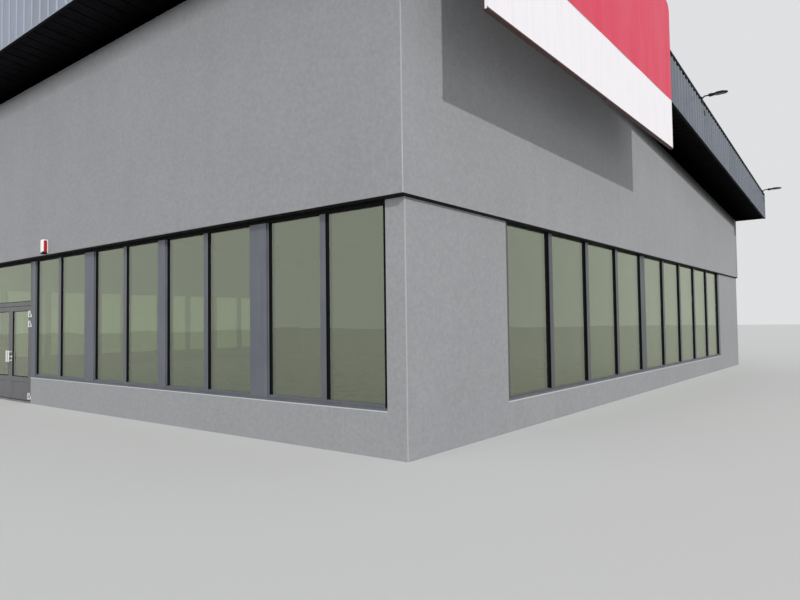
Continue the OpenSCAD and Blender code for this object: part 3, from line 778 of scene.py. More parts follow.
for name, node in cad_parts.items():
    for prefix, finish in NODE_FINISHES:
        if name.startswith(prefix):
            for place in node.material_slots:
                place.material = finish
    if name.startswith(BEVELLED):
        weld = node.modifiers.new("weld", "WELD")
        weld.merge_threshold = 0.0002
        bevel = node.modifiers.new("bevel", "BEVEL")
        bevel.width = EDGE_BEVEL
        bevel.segments = 2
        bevel.limit_method = "ANGLE"
        bevel.angle_limit = radians(40)
print("nodes finished", len(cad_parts))

# %% [markdown]
# ## Corner beads and the foot of the upper wall
# Render would chip at an outer corner, so a thin metal or plastic bead is set there and the coat is worked up
# to it; its pale nose shows as a light line. Under the thicker upper wall runs a dark starter track that the
# insulation stands on; it is drawn deep enough that its black also stands for the shade under the upper wall,
# as painted shade. Both are folded strips, so each is an outline carried straight along the edge.

# %% Corner beads and the foot of the upper wall
BEAD_LEG = 0.010
BEAD_NOSE = 0.0018
# Painted shade: the track is deep enough to take in the shade under the upper wall.
TRACK_T = 0.026
TRACK_SETBACK = 0.004

bead = [(BEAD_NOSE, BEAD_NOSE), (-BEAD_LEG, BEAD_NOSE), (-BEAD_LEG, -SINK), (-SINK, -SINK),
        (-SINK, -BEAD_LEG), (BEAD_NOSE, -BEAD_LEG)]
upper = [upright_angle(side * HALF_W, y, bead, UPPER_Z, soffit_z(y))
         for side in (1, -1) for y in (FRONT_Y, BACK_Y)]
lower = [upright_angle(side * LOWER_X, y, bead, 0.0, UPPER_Z)
         for side in (1, -1) for y in (LOWER_FRONT_Y, LOWER_BACK_Y)]
make_piece("corner_beads_upper", upper, CORNER_BEAD)
make_piece("corner_beads_lower", lower, CORNER_BEAD)


def plan_rim(outer, profile, heights):
    """Band round the building: each profile point is an inset from the outer rectangle and a height above
    the corner's own level, so a band can follow the fall of the roof. Corners are mitred."""
    x, front, back = outer
    profile = np.asarray(profile, float)
    plan = inset_corners(-x, x, front, back, profile[:, 0])
    level = np.array([heights(y) for y in (front, front, back, back)])[:, None] + profile[:, 1]
    return loft(np.concatenate([plan, level[..., None]], axis=-1), closed=True)


track_inset = LOWER_FRONT_Y - FRONT_Y + 0.002
track_outline = [(TRACK_SETBACK, 0.0), (TRACK_SETBACK, -TRACK_T), (track_inset, -TRACK_T), (track_inset, 0.0)]
track = plan_rim((HALF_W, FRONT_Y, BACK_Y), track_outline, lambda y: UPPER_Z)
make_piece("starter_track", [track], HEAD_COVER_AND_SHADE)

# %% [markdown]
# ## Window reveals
# In the photograph each pane ends in a black line at its sides and under the head, while the foot is grey.
# The black is the gasket with a liner in the depth of the frame, and the grey foot is the sill. The liners
# are upright strips with a lip that presses on the glass, and one small function places them on either
# wall.

# %% Window reveals
low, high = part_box("front_frames_right")
FRAME_Y = low.y
FRONT_GLASS_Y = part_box("front_glass_right")[0].y
SILL_Z = low.z
PIER_X = high.x
low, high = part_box("side_frame_right")
SIDE_FRAME_X = high.x
STRIP_Y0 = low.y
STRIP_Y1 = high.y
SIDE_SILL_Z = low.z
SIDE_GLASS_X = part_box("side_glass_right")[1].x
ENTRANCE_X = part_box("entrance_frame")[1].x
PILASTER_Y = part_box("pilasters_right")[0].y
FRONT_SILL_BAR = 0.05
FRONT_HEAD_BAR = 0.065
SIDE_SILL_BAR = 0.035
SIDE_HEAD_BAR = 0.03
BAY = 2.50
FIRST_BAY_X = 1.22
SLIM_PILASTER = 0.22
WIDE_PILASTER = 0.36
FRONT_JAMB = 0.03
FRONT_MULLION = 0.105
SIDE_JAMB = 0.09
SIDE_MULLION = 0.165
WIDE_MULLION = 0.37
NEAR_PANES = 4
NEAR_PANE = 1.44
FAR_PANES = 5
FAR_PANE = 1.37
FRONT_PANE_TOP = UPPER_Z - FRONT_HEAD_BAR
SIDE_PANE_TOP = UPPER_Z - SIDE_HEAD_BAR
FRONT_PANE = (BAY - (SLIM_PILASTER + WIDE_PILASTER) / 2.0 - 2.0 * FRONT_JAMB - FRONT_MULLION) / 2.0
LINER_T = 0.004
LINER_START = 0.004
FRONT_LIP = 0.046
HEAD_LIP = 0.006
SIDE_LIP = 0.080
SIDE_LAP = 0.022

bay_lines = FIRST_BAY_X + np.arange(4) * BAY
pilaster_halves = np.where(np.arange(4) % 2 == 0, SLIM_PILASTER, WIDE_PILASTER) / 2.0
window_starts = bay_lines + pilaster_halves + FRONT_JAMB
front_starts = window_starts[:, None] + np.arange(2) * (FRONT_PANE + FRONT_MULLION)
front_panes = [(x, x + FRONT_PANE) for x in front_starts.ravel()]
near_starts = STRIP_Y0 + SIDE_JAMB + np.arange(NEAR_PANES) * (NEAR_PANE + SIDE_MULLION)
far_first = near_starts[-1] + NEAR_PANE + WIDE_MULLION
far_starts = far_first + np.arange(FAR_PANES) * (FAR_PANE + SIDE_MULLION)
side_panes = [(y, y + NEAR_PANE) for y in near_starts] + [(y, y + FAR_PANE) for y in far_starts]
left_over = side_panes[-1][1] + SIDE_JAMB - STRIP_Y1
print("panes", len(front_panes), len(side_panes), "left over at the far jamb", round(left_over, 4))


def reveal(a0, a1, z0, z1, depth, lips, place):
    """Black liners on both sides and under the head of an opening, each with a lip against the glass. The
    lips are the near and the far one's width, and how far the far liner laps over the frame's face."""
    def liner(lip, lap=0.0):
        edge = [(-SINK, -LINER_START), (LINER_T, -LINER_START - 0.002)]
        if lap:
            edge = [(-SINK, 0.0004), (-lap, 0.0004), (-lap + 0.001, 0.0030), (LINER_T, 0.0030)]
        return np.array(edge + [(LINER_T, -depth + 0.005), (lip, -depth + 0.003), (lip, -depth + HAIR),
                                (-SINK, -depth + HAIR)])
    mirror = np.array([-1.0, 1.0])
    near = liner(lips[0]) + np.array([a0, 0.0])
    far = liner(lips[1], lips[2]) * mirror + np.array([a1, 0.0])
    head = liner(HEAD_LIP) * mirror + np.array([z1, 0.0])
    return [upright_strip(z0, z1, near, place), upright_strip(z0, z1, far, place),
            level_strip(a0, a1, head, place)]


def foot_bead(a0, a1, z0, depth, place):
    """Grey glazing bead at the foot of a pane, sloped so that water runs off."""
    slope = [(z0 - SINK, -0.004), (z0 + 0.003, -0.006), (z0 + 0.007, -depth + 0.006),
             (z0 + 0.007, -depth + HAIR), (z0 - SINK, -depth + HAIR)]
    return level_strip(a0, a1, slope, place)


for side, word in SIDES:
    walls = [(np.sort(side * np.array(front_panes), axis=1), SILL_Z + FRONT_SILL_BAR, FRONT_PANE_TOP,
              FRONT_GLASS_Y - FRAME_Y, (FRONT_LIP, HEAD_LIP, 0.0), on_front(FRAME_Y)),
             (side_panes, SIDE_SILL_Z + SIDE_SILL_BAR, SIDE_PANE_TOP,
              SIDE_FRAME_X - SIDE_GLASS_X, (HEAD_LIP, SIDE_LIP, SIDE_LAP), on_side(SIDE_FRAME_X, side))]
    liners, beads = [], []
    for spans, foot, top, depth, lips, place in walls:
        for a, b in spans:
            liners += reveal(a, b, foot, top, depth, lips, place)
            beads.append(foot_bead(a, b, foot, depth, place))
    make_piece(f"pane_liners_{word}", liners, GASKET)
    make_piece(f"foot_beads_{word}", beads, FRAME)

# %% [markdown]
# ## End covers
# Two flat covers close the window bands at the building's corner. Beside the pier of the front a black one
# hides the last jamb, and a dark grey one hides the jamb at the near end of the side band. Each is a flat
# strip with eased edges that stands a little proud of the frame.

# %% End covers
COVER_T = 0.006
EASE = 0.002
PIER_COVER = 0.062
STRIP_COVER = 0.12
COVER_LIFT = 0.02
COVER_DROP = 0.01


def end_cover(a0, a1, z0, z1, place):
    """Flat upright cover from a0 to a1 with eased edges."""
    outline = [(a0, -SINK), (a0, COVER_T - EASE), (a0 + EASE, COVER_T), (a1 - EASE, COVER_T),
               (a1, COVER_T - EASE), (a1, -SINK)]
    return upright_strip(z0, z1, outline, place)


pier_covers = [end_cover(*span(side, PIER_X - PIER_COVER, PIER_X), SILL_Z + COVER_LIFT, UPPER_Z - COVER_DROP,
                         on_front(FRAME_Y)) for side in (1, -1)]
make_piece("pier_covers", pier_covers, GASKET)
strip_covers = [end_cover(STRIP_Y0, STRIP_Y0 + STRIP_COVER, SIDE_SILL_Z + COVER_LIFT, UPPER_Z - COVER_DROP,
                          on_side(SIDE_FRAME_X, side)) for side in (1, -1)]
make_piece("strip_covers", strip_covers, SIDE_FRAME)

# %% [markdown]
# ## Head covers and sills
# A black cover hides the head of all the windows and closes the joint to the upper wall, so the windows
# hang from a continuous dark line; the black is partly the dark head and partly painted shade under the
# upper wall. Below, a folded aluminium sill sheds the water past the render. Its upper face slopes, its nose
# turns down and its ends stop at the piers. A pale bead under the nose is a painted highlight of the sill's
# lit edge.

# %% Head covers and sills
FRONT_HEAD_DROP = 0.068
SIDE_HEAD_DROP = 0.033
HEAD_PROUD = 0.004
SILL_SLOPE = 0.014
SILL_NOSE = 0.016
SILL_OVER = 0.008
SHEET_T = 0.003
BEAD_DROP = 0.014
BEAD_H = 0.016


def head_outline(drop, proud):
    """Flat cover with eased lower edge: heights and distances outwards."""
    foot = UPPER_Z - drop
    return [(foot, -0.02), (foot, proud - 0.003), (foot + 0.003, proud), (UPPER_Z - 0.007, proud),
            (UPPER_Z - 0.007, -0.02)]


def sill_outline(z, reach):
    """Folded sill: slope, nose turned down, and the underside one sheet thickness behind."""
    top = z + 0.020
    nose = top - SILL_SLOPE
    return [(top, -SINK), (nose, reach - EASE), (nose - EASE, reach), (nose - SILL_NOSE, reach),
            (nose - SILL_NOSE, reach - SHEET_T), (nose - SHEET_T, reach - SHEET_T), (z + 0.002, -SINK)]


def highlight_bead(z):
    """Pale bead on the face of the dwarf wall, below the nose of the sill: a painted highlight of the sill's
    lit edge.
    """
    top = z - BEAD_DROP
    return [(top, -0.002), (top, 0.002), (top - 0.002, 0.004), (top - BEAD_H + 0.002, 0.004),
            (top - BEAD_H, 0.002), (top - BEAD_H, -0.002)]


def along_windows(runs, front_outline, front_plane, side_outline, side_plane):
    """One kind of strip along all the windows: the given runs on the front and the whole band on both
    sides."""
    strips = [(a, b, front_outline, on_front(front_plane)) for a, b in runs]
    strips += [(STRIP_Y0, STRIP_Y1, side_outline, on_side(side_plane, side)) for side in (1, -1)]
    return [level_strip(*strip) for strip in strips]


covers = along_windows([(-PIER_X, PIER_X)], head_outline(FRONT_HEAD_DROP, HEAD_PROUD + FRAME_Y - PILASTER_Y),
                       FRAME_Y, head_outline(SIDE_HEAD_DROP, HEAD_PROUD), SIDE_FRAME_X)
make_piece("head_covers", covers, HEAD_COVER_AND_SHADE)
front_runs = [(ENTRANCE_X, PIER_X), (-PIER_X, -ENTRANCE_X)]
sills = along_windows(front_runs, sill_outline(SILL_Z, FRAME_Y - LOWER_FRONT_Y + SILL_OVER), FRAME_Y,
                      sill_outline(SIDE_SILL_Z, LOWER_X - SIDE_FRAME_X + SILL_OVER), SIDE_FRAME_X)
make_piece("window_sills", sills, PILASTER)
highlight_beads = along_windows(front_runs, highlight_bead(SILL_Z), LOWER_FRONT_Y,
                           highlight_bead(SIDE_SILL_Z - 0.008), LOWER_X)
make_piece("sill_edge_beads", highlight_beads, HIGHLIGHT_BEAD)

# %% [markdown]
# ## Ribbed canopy
# Fascia and soffit are trapezoidal steel sheet: wide pans with narrow ribs, stiff across the span. On the
# fascia the ribs stand upright and catch the sun as light lines. The soffit is the same sheet turned over,
# so its ribs show as dark grooves from wall to edge; at the sides it lies in two rows that meet without a
# step. The sheet is worked out as stations along its length, four a rib, each station a ring of four
# points, which follows the fall of the roof exactly.

# %% Ribbed canopy
FRONT_PITCH = 0.33
SIDE_PITCH = 0.24
RIB_FOOT = 0.075
RIB_CREST = 0.050
RIB_DEPTH = 0.020
SIDE_RIB_DEPTH = 0.017
RIB_BACK = 0.006
GROOVE_FOOT = 0.036
GROOVE_CREST = 0.020
GROOVE_DEPTH = 0.030
SOFFIT_LAP_X = HALF_W + 0.52
CANOPY_X = FASCIA_X - FASCIA_T
CANOPY_FRONT_Y = FASCIA_FRONT_Y + FASCIA_T


def sheet(rails):
    """Strip of sheet through four rails, each given as x, y and z, with one ring across them at every
    station."""
    return loft(np.stack([rail(*points) for points in rails], axis=1))


def fascia_across(x0, x1, face_y, out, pitch):
    """Ribbed sheet that faces -Y (out is -1) or +Y (out is 1), with its face at face_y on the ribs."""
    run, rise = rib_line(x0, x1, pitch, RIB_FOOT, RIB_CREST)
    skin = face_y - out * (RIB_BACK + RIB_DEPTH * (1.0 - rise))
    back = face_y - out * (FASCIA_T - 0.001)
    foot, top = soffit_z(face_y) + 0.004, eaves_z(face_y) - 0.008
    return sheet([(run, y, z) for y, z in ((skin, foot), (skin, top), (back, top), (back, foot))])


def fascia_along(y0, y1, side, pitch):
    """Ribbed sheet on a side of the canopy; its foot follows the soffit and its top the roof."""
    run, rise = rib_line(y0, y1, pitch, RIB_FOOT * 0.8, RIB_CREST * 0.8)
    skin = side * (FASCIA_X - RIB_BACK - SIDE_RIB_DEPTH * (1.0 - rise))
    back = side * (FASCIA_X - FASCIA_T + 0.001)
    foot, top = soffit_z(run) + 0.004, eaves_z(run) - 0.008
    return sheet([(x, run, z) for x, z in ((skin, foot), (skin, top), (back, top), (back, foot))])


make_piece("front_fascia_sheet", [fascia_across(-CANOPY_X, CANOPY_X, FASCIA_FRONT_Y, -1, FRONT_PITCH)],
           FRONT_SHEET_PAINTED_REFLECTION, replaces=("front_fascia",))
make_piece("back_fascia_sheet", [fascia_across(-CANOPY_X, CANOPY_X, FASCIA_BACK_Y, 1, SIDE_PITCH)],
           SIDE_SHEET, replaces=("back_fascia",))
for side, word in SIDES:
    make_piece(f"side_fascia_sheet_{word}", [fascia_along(FASCIA_FRONT_Y, FASCIA_BACK_Y, side, SIDE_PITCH)],
               SIDE_SHEET, replaces=(f"side_fascia_{word}",))

run, rise = rib_line(-CANOPY_X, CANOPY_X, FRONT_PITCH, GROOVE_FOOT, GROOVE_CREST)
lift = rise * GROOVE_DEPTH
corners = ((CANOPY_FRONT_Y, lift), (FRONT_Y, lift), (FRONT_Y, SOFFIT_T), (CANOPY_FRONT_Y, SOFFIT_T))
front_soffit = sheet([(run, y, soffit_z(y) + z) for y, z in corners])
make_piece("front_soffit_sheet", [front_soffit], FRONT_SOFFIT, replaces=("front_soffit",))
run, rise = rib_line(FRONT_Y, BACK_Y, SIDE_PITCH, GROOVE_FOOT, GROOVE_CREST)
lift = soffit_z(run) + rise * GROOVE_DEPTH
crown = soffit_z(run) + SOFFIT_T
for side, word in SIDES:
    for row, near, far in (("inner", HALF_W, SOFFIT_LAP_X), ("outer", SOFFIT_LAP_X, CANOPY_X)):
        corners = ((far, lift), (near, lift), (near, crown), (far, crown))
        half = sheet([(side * x, run, z) for x, z in corners])
        make_piece(f"side_soffit_{row}_{word}", [half], SIDE_SOFFIT,
                   replaces=(f"side_soffit_{word}",))

# %% [markdown]
# ## Roof sheet
# From eye height the roof can't be seen. A hall like this one is covered with ribbed steel sheet whose ribs
# run down the fall, so that rain leaves between them. The sheet lies on the deck of the model and ends
# under the cap of the fascia.

# %% Roof sheet
DECK_BELOW_EAVES = 0.06
ROOF_PITCH = 0.30
ROOF_RIB = 0.038
ROOF_FOOT = 0.095
ROOF_CREST = 0.055
run, rise = rib_line(-CANOPY_X, CANOPY_X, ROOF_PITCH, ROOF_FOOT, ROOF_CREST)
skin = 0.006 + rise * ROOF_RIB
corners = ((CANOPY_FRONT_Y, skin), (BACK_Y, skin), (BACK_Y, HAIR), (CANOPY_FRONT_Y, HAIR))
roof = sheet([(run, y, eaves_z(y) - DECK_BELOW_EAVES + z) for y, z in corners])
make_piece("roof_sheet", [roof], ROOF_SHEET)

# %% [markdown]
# ## Cap, drip and corner trims
# Folded trims close the sheet edges: a dark cap over the top, whose shadow shows as teeth in the pans, a
# drip at the foot, and an angle at each corner. The cap goes round the whole roof as one mitred band that
# follows the fall. The front's drip is paler than the others, as in the photograph.

# %% Cap, drip and corner trims
CAP_FACE = 0.075
CAP_LIP = 0.022
DRIP_FACE = 0.022
DRIP_IN = 0.008
RETURN_IN = 0.064
CORNER_LEG = 0.075
cap_outline = [(0.0, -CAP_FACE), (0.0, -0.004), (0.004, -0.001), (FASCIA_T + 0.02, -0.001),
               (FASCIA_T + 0.02, -CAP_LIP), (FASCIA_T + 0.017, -CAP_LIP), (FASCIA_T + 0.017, -0.0045),
               (0.0045, -0.0045), (0.0045, -CAP_FACE)]
canopy_plan = (FASCIA_X, FASCIA_FRONT_Y, FASCIA_BACK_Y)
make_piece("roof_cap", [plan_rim(canopy_plan, cap_outline, eaves_z)], CAP_TRIM)

front_foot = soffit_z(FASCIA_FRONT_Y)
drip_outline = [(front_foot + DRIP_FACE, 0.0), (front_foot + DRIP_FACE, -DRIP_IN), (front_foot, -DRIP_IN),
                (front_foot, 0.0)]
front_drip = level_strip(-FASCIA_X, FASCIA_X, drip_outline, on_front(FASCIA_FRONT_Y + HAIR))
make_piece("front_drip", [front_drip], DRIP_TRIM)


def along_eaves(side, outline):
    """Strip along a side, lower at the back: an outline of offsets from the fascia's lower edge, lifted to
    the soffit's height at each end."""
    out, up = np.transpose(outline)
    return loft([rail(side * (FASCIA_X - HAIR + out), y, soffit_z(y) + up)
                 for y in (FASCIA_FRONT_Y, FASCIA_BACK_Y)])


SIDE_DRIP = [(0.0, 0.020), (-DRIP_IN, 0.020), (-DRIP_IN, 0.0), (0.0, 0.0)]
SIDE_RETURN = [(-DRIP_IN, 0.003), (-RETURN_IN, 0.003), (-RETURN_IN, 0.0), (-DRIP_IN, 0.0)]
front_return = [(front_foot + up, out) for out, up in SIDE_RETURN]
returns = [along_eaves(side, SIDE_RETURN) for side in (1, -1)]
returns.append(level_strip(-FASCIA_X + 0.06, FASCIA_X - 0.06, front_return, on_front(FASCIA_FRONT_Y)))
make_piece("canopy_returns", returns, CAP_TRIM)
make_piece("side_drips", [along_eaves(side, SIDE_DRIP) for side in (1, -1)], SIDE_SHEET)
corner_legs = np.array([(0.0, 0.0), (-CORNER_LEG, 0.0), (-CORNER_LEG, -0.005), (-0.005, -0.005),
                        (-0.005, -CORNER_LEG), (0.0, -CORNER_LEG)]) - 0.0008
trims = [upright_angle(side * FASCIA_X, y, corner_legs, soffit_z(y) + 0.02, eaves_z(y) - 0.03)
         for side in (1, -1) for y in (FASCIA_FRONT_Y, FASCIA_BACK_Y)]
make_piece("fascia_trims", trims, SIDE_SHEET)

# %% [markdown]
# ## Sign finish
# The tall sign is a printed face: a red field over a white stripe, both bare. The red is paler in soft
# upright streaks, painted highlights of the wavy sheet; the sheet is slightly wavy, and dust has run down
# over the white. The height alone decides the field, so one material serves the face and its folded edges.

# %% Sign finish
SIGN_LOW, SIGN_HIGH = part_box("sign_board")
STRIPE_H = 0.98
STRIPE_TOP = SIGN_LOW.z + STRIPE_H


def sign_print(name, red=(0.70, 0.044, 0.098), white=(0.92, 0.885, 0.91)):
    """Printed face: red above the stripe and white below, with paler streaks painted as highlights and a
    satin, wavy skin.
    """
    face = Finish(name, roughness=0.38, specular=0.16)
    streak = face.spread(face.noise(0.085, detail=4.0, rough=0.6, stretch=(1.0, 1.0, 16.0)), 0.36, 0.72)
    broad = face.spread(face.noise(0.60, detail=2.0, stretch=(1.0, 1.0, 5.0)), 0.35, 0.68)
    # Painted highlight: upright streaks of paler red.
    highlit_red = tuple(c + 0.05 * (1.0 - c) for c in red)
    field = face.mix(face.maths("MULTIPLY", streak, broad), red, highlit_red)
    dust = face.spread(face.noise(0.05, detail=5.0, stretch=(1.0, 1.0, 12.0)), 0.45, 0.80)
    stripe = face.mix(dust, white, shaded(white, 0.93))
    above = face.maths("GREATER_THAN", face.axis("Z"), STRIPE_TOP)
    face.colour(face.mix(above, stripe, field))
    face.roughness(face.spread(broad, 0.0, 1.0, 0.36, 0.54))
    face.relief(face.noise(0.42, detail=2.0, stretch=(1.0, 1.0, 3.0)), 0.010, 0.35)
    face.relief(face.noise(0.0018, detail=1.0), 0.00008, 0.5)
    return face.material


SIGN_PRINT = sign_print("sign_print")
BACK_SHEET = coated_metal("sign_back_sheet", (0.34, 0.34, 0.345), gloss=0.45, dust=0.12)
print("sign from", tuple(np.round(SIGN_LOW, 3)), "to", tuple(np.round(SIGN_HIGH, 3)))

# %% [markdown]
# ## Sign
# The face is a sheet with rounded upper corners, folded back at the edges and pulled slightly in between
# its posts. For each place along the sign the top edge is the corner's circle, and the ring of that station
# runs up the front and down the back. Stations lie closer together in the corners, where the edge bends.

# %% Sign
SIGN_CORNER = 0.20
SIGN_POSTS = 5
POST_W = 0.06
SIGN_FOLD = 0.006
SIGN_DISH = 0.003
FACE_ROWS = 18
JOINT_HALF = 0.006
CLIP_HALF = 0.035
CLIP_DROP = 0.012
PANEL_GAP = 0.036
POST_PITCH = (SIGN_HIGH.y - SIGN_LOW.y - POST_W) / (SIGN_POSTS - 1)
UNDER_T = 0.004
UNDER_LIP = 0.014


def sign_stations():
    """Places along the sign: by equal angles round both corners and by equal steps between them."""
    turn = quarter_turn(13)
    near = SIGN_LOW.y + SIGN_CORNER * (1.0 - np.cos(turn))
    far = SIGN_HIGH.y - SIGN_CORNER * (1.0 - np.cos(turn[::-1]))
    return np.concatenate([near, np.linspace(near[-1], far[0], 62)[1:-1], far])


def sign_top(y):
    """Upper edge: level, and a quarter circle down at both ends."""
    reach = np.clip(SIGN_CORNER - np.minimum(y - SIGN_LOW.y, SIGN_HIGH.y - y), 0.0, SIGN_CORNER)
    return SIGN_HIGH.z - SIGN_CORNER + np.sqrt(SIGN_CORNER ** 2 - reach ** 2)


def sign_shell():
    """Front rows from foot to top, dished between the posts by a cosine, then the back from top to foot."""
    y = sign_stations()[:, None]
    top = sign_top(y)
    share = np.linspace(0.0, 1.0, FACE_ROWS)
    z = SIGN_LOW.z + SIGN_FOLD + (top - SIGN_LOW.z - 2.0 * SIGN_FOLD) * share
    bay = (y - SIGN_LOW.y - POST_W / 2.0) / POST_PITCH
    dish = SIGN_DISH * (0.5 - 0.5 * np.cos(2.0 * pi * bay)) * np.sin(pi * share)
    fold_x = SIGN_HIGH.x - SIGN_FOLD
    lines = ((SIGN_HIGH.x - dish, z), (fold_x, top), (SIGN_LOW.x, top), (SIGN_LOW.x, SIGN_LOW.z),
             (fold_x, SIGN_LOW.z))
    columns = [np.stack(np.broadcast_arrays(x, y, level), axis=-1) for x, level in lines]
    return loft(np.concatenate(columns, axis=1))


make_piece("sign_face", [sign_shell()], SIGN_PRINT, smooth=20.0, replaces=("sign_board",))
joint_outline = [(STRIPE_TOP + up, out) for up, out in
                 ((-JOINT_HALF, -0.006), (-JOINT_HALF, -0.0004), (JOINT_HALF, -0.0004), (JOINT_HALF, -0.006))]
joint = level_strip(SIGN_LOW.y + 0.003, SIGN_HIGH.y - 0.003, joint_outline, on_side(SIGN_HIGH.x))
make_piece("sign_joint", [joint], BACK_SHEET)

post_middles = SIGN_LOW.y + POST_W / 2.0 + POST_PITCH * np.arange(SIGN_POSTS)
clips = []
for y in post_middles:
    clips.append(soft_block((SIGN_LOW.x - 0.022, y - CLIP_HALF, SIGN_LOW.z - CLIP_DROP),
                            (SIGN_HIGH.x - 0.001, y + CLIP_HALF, SIGN_LOW.z - 0.001), 0.002))
    clips.append(soft_block((SIGN_HIGH.x - 0.0065, y - CLIP_HALF, SIGN_LOW.z - CLIP_DROP),
                            (SIGN_HIGH.x - HAIR, y + CLIP_HALF, SIGN_LOW.z + 0.022), 0.002))
under_outline = [(SIGN_LOW.z + up, out) for up, out in
                 ((UNDER_LIP, HAIR), (UNDER_LIP, -0.001), (-HAIR, -0.001), (-HAIR, -0.069),
                  (-UNDER_T, -0.069), (-UNDER_T, HAIR))]
under = level_strip(SIGN_LOW.y, SIGN_HIGH.y, under_outline, on_side(SIGN_HIGH.x - HAIR))
make_piece("sign_clips", clips + [under], SIGN_STEEL)
back_panels = [soft_block((SIGN_LOW.x - 0.004, a + PANEL_GAP, SIGN_LOW.z + 0.07),
                          (SIGN_LOW.x - HAIR, b - PANEL_GAP, SIGN_HIGH.z - SIGN_CORNER - 0.02), 0.001)
               for a, b in zip(post_middles[:-1], post_middles[1:])]
make_piece("sign_back", back_panels, BACK_SHEET)

# %% [markdown]
# ## Siren
# Beside the entrance hangs an alarm siren: a white moulded housing with a dark red flash lens on its side,
# a base plate on the wall and a black grille below. Its outline is a rounded rectangle, drawn in towards
# the front in a few steps, which gives the soft shoulders of a moulding.

# %% Siren
def rounded_ring(y_half, z_half, radius, steps=5):
    """Points of a rectangle with round corners: four quarter circles moved to the corners."""
    turn = quarter_turn(steps)
    quarter = np.concatenate([turn + q * pi / 2.0 for q in range(4)])
    centre = np.array([(1, 1), (-1, 1), (-1, -1), (1, -1)]).repeat(steps, axis=0)
    arc = np.column_stack([np.cos(quarter), np.sin(quarter)]) * radius
    return centre * np.array([y_half - radius, z_half - radius]) + arc


def moulding(low, high, out_axis, direction, radius, shoulder):
    """Housing of rounded rings: full size at its back, drawn in by a quarter circle over the shoulder."""
    low, high = np.asarray(low, float), np.asarray(high, float)
    flat = [a for a in (0, 1, 2) if a != out_axis]
    half = (high - low)[flat] / 2.0
    middle = ((low + high) / 2.0)[flat]
    turn = quarter_turn(6)
    insets = np.concatenate([[0.0], shoulder * (1.0 - np.cos(turn))])
    reach = high[out_axis] - low[out_axis]
    outs = np.concatenate([[0.0], reach - shoulder + shoulder * np.sin(turn)])
    rings = []
    for inset, out in zip(insets, outs):
        ring = rounded_ring(half[0] - inset, half[1] - inset, max(radius - inset, 0.002)) + middle
        base = low[out_axis] + out if direction > 0 else high[out_axis] - out
        points = np.zeros((len(ring), 3))
        points[:, flat] = ring
        points[:, out_axis] = base
        rings.append(points)
    return loft(rings)


GRILLE_H = 0.022
BASE_T = 0.014
SLOT_COUNT = 5
SLOT_PITCH = 0.014
SLOT_H = 0.005
SLOT_IN = 0.036
LENS_RIBS = 9
low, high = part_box("alarm_siren")
lens_low, lens_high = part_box("siren_lens")
housing = moulding((low.x, low.y, low.z + GRILLE_H), high, 1, -1, 0.034, 0.030)
base = moulding((low.x - 0.002, high.y - BASE_T, low.z + 0.004),
                (lens_high.x - 0.001, high.y, high.z - 0.004), 1, -1, 0.030, 0.006)
make_piece("siren_housing", [housing, base], SIREN_WHITE, replaces=("alarm_siren",))
slots = [moulding((low.x + 0.006, low.y + 0.008, low.z), (lens_high.x - 0.006, high.y - 0.004, low.z + 0.05),
                  2, -1, 0.016, 0.006)]
for z in low.z + 0.060 + SLOT_PITCH * np.arange(SLOT_COUNT):
    slots.append(soft_block((low.x + SLOT_IN, low.y + 0.0004, z),
                            (high.x - SLOT_IN, low.y + 0.006, z + SLOT_H), 0.001))
make_piece("siren_slots", slots, GASKET)
lens = [moulding((lens_low.x - 0.030, lens_low.y + 0.022, low.z + 0.020),
                 (lens_high.x, lens_high.y - BASE_T - 0.001, lens_high.z - 0.020), 0, 1, 0.022, 0.016)]
for z in np.linspace(lens_low.z + 0.05, lens_high.z - 0.05, LENS_RIBS):
    lens.append(soft_block((lens_high.x - 0.006, lens_low.y + 0.042, z - 0.003),
                           (lens_high.x - HAIR, lens_high.y - BASE_T - 0.022, z + 0.003), 0.001))
make_piece("siren_flash_lens", lens, SIREN_RED, replaces=("siren_lens",))

# %% [markdown]
# ## Lamps
# Flat floodlights stand out from the upper edge on thin arms that come up over the cap and turn level. From
# below each looks like a small boat: a short neck block, a flat head that swells and ends in a blunt tip,
# cooling fins on top and a paler lens below. The head is a superellipse whose half width and height change
# along its length.

# %% Lamps
LAMP_PLATE = 0.12
LAMP_PLATE_T = 0.008
ARM_R = 0.016
ARM_LEN = 0.15
HEAD_LEN = 0.42
HEAD_W = 0.20
HEAD_T = 0.08
NECK_LEN = 0.075
LAMP_RISE = 0.03
NECK_HALF = 0.046
FIN_PITCH = 0.018
FIN_T = 0.005
FIN_START = ARM_LEN + 0.17
FIN_END = ARM_LEN + 0.32
LENS_HALF = 0.062
LENS_START = ARM_LEN + 0.15
LENS_END = ARM_LEN + 0.36
BOLT_R = 0.009
BOLT_HALF = 0.042
LAMP_YS = (0.82, 9.52)


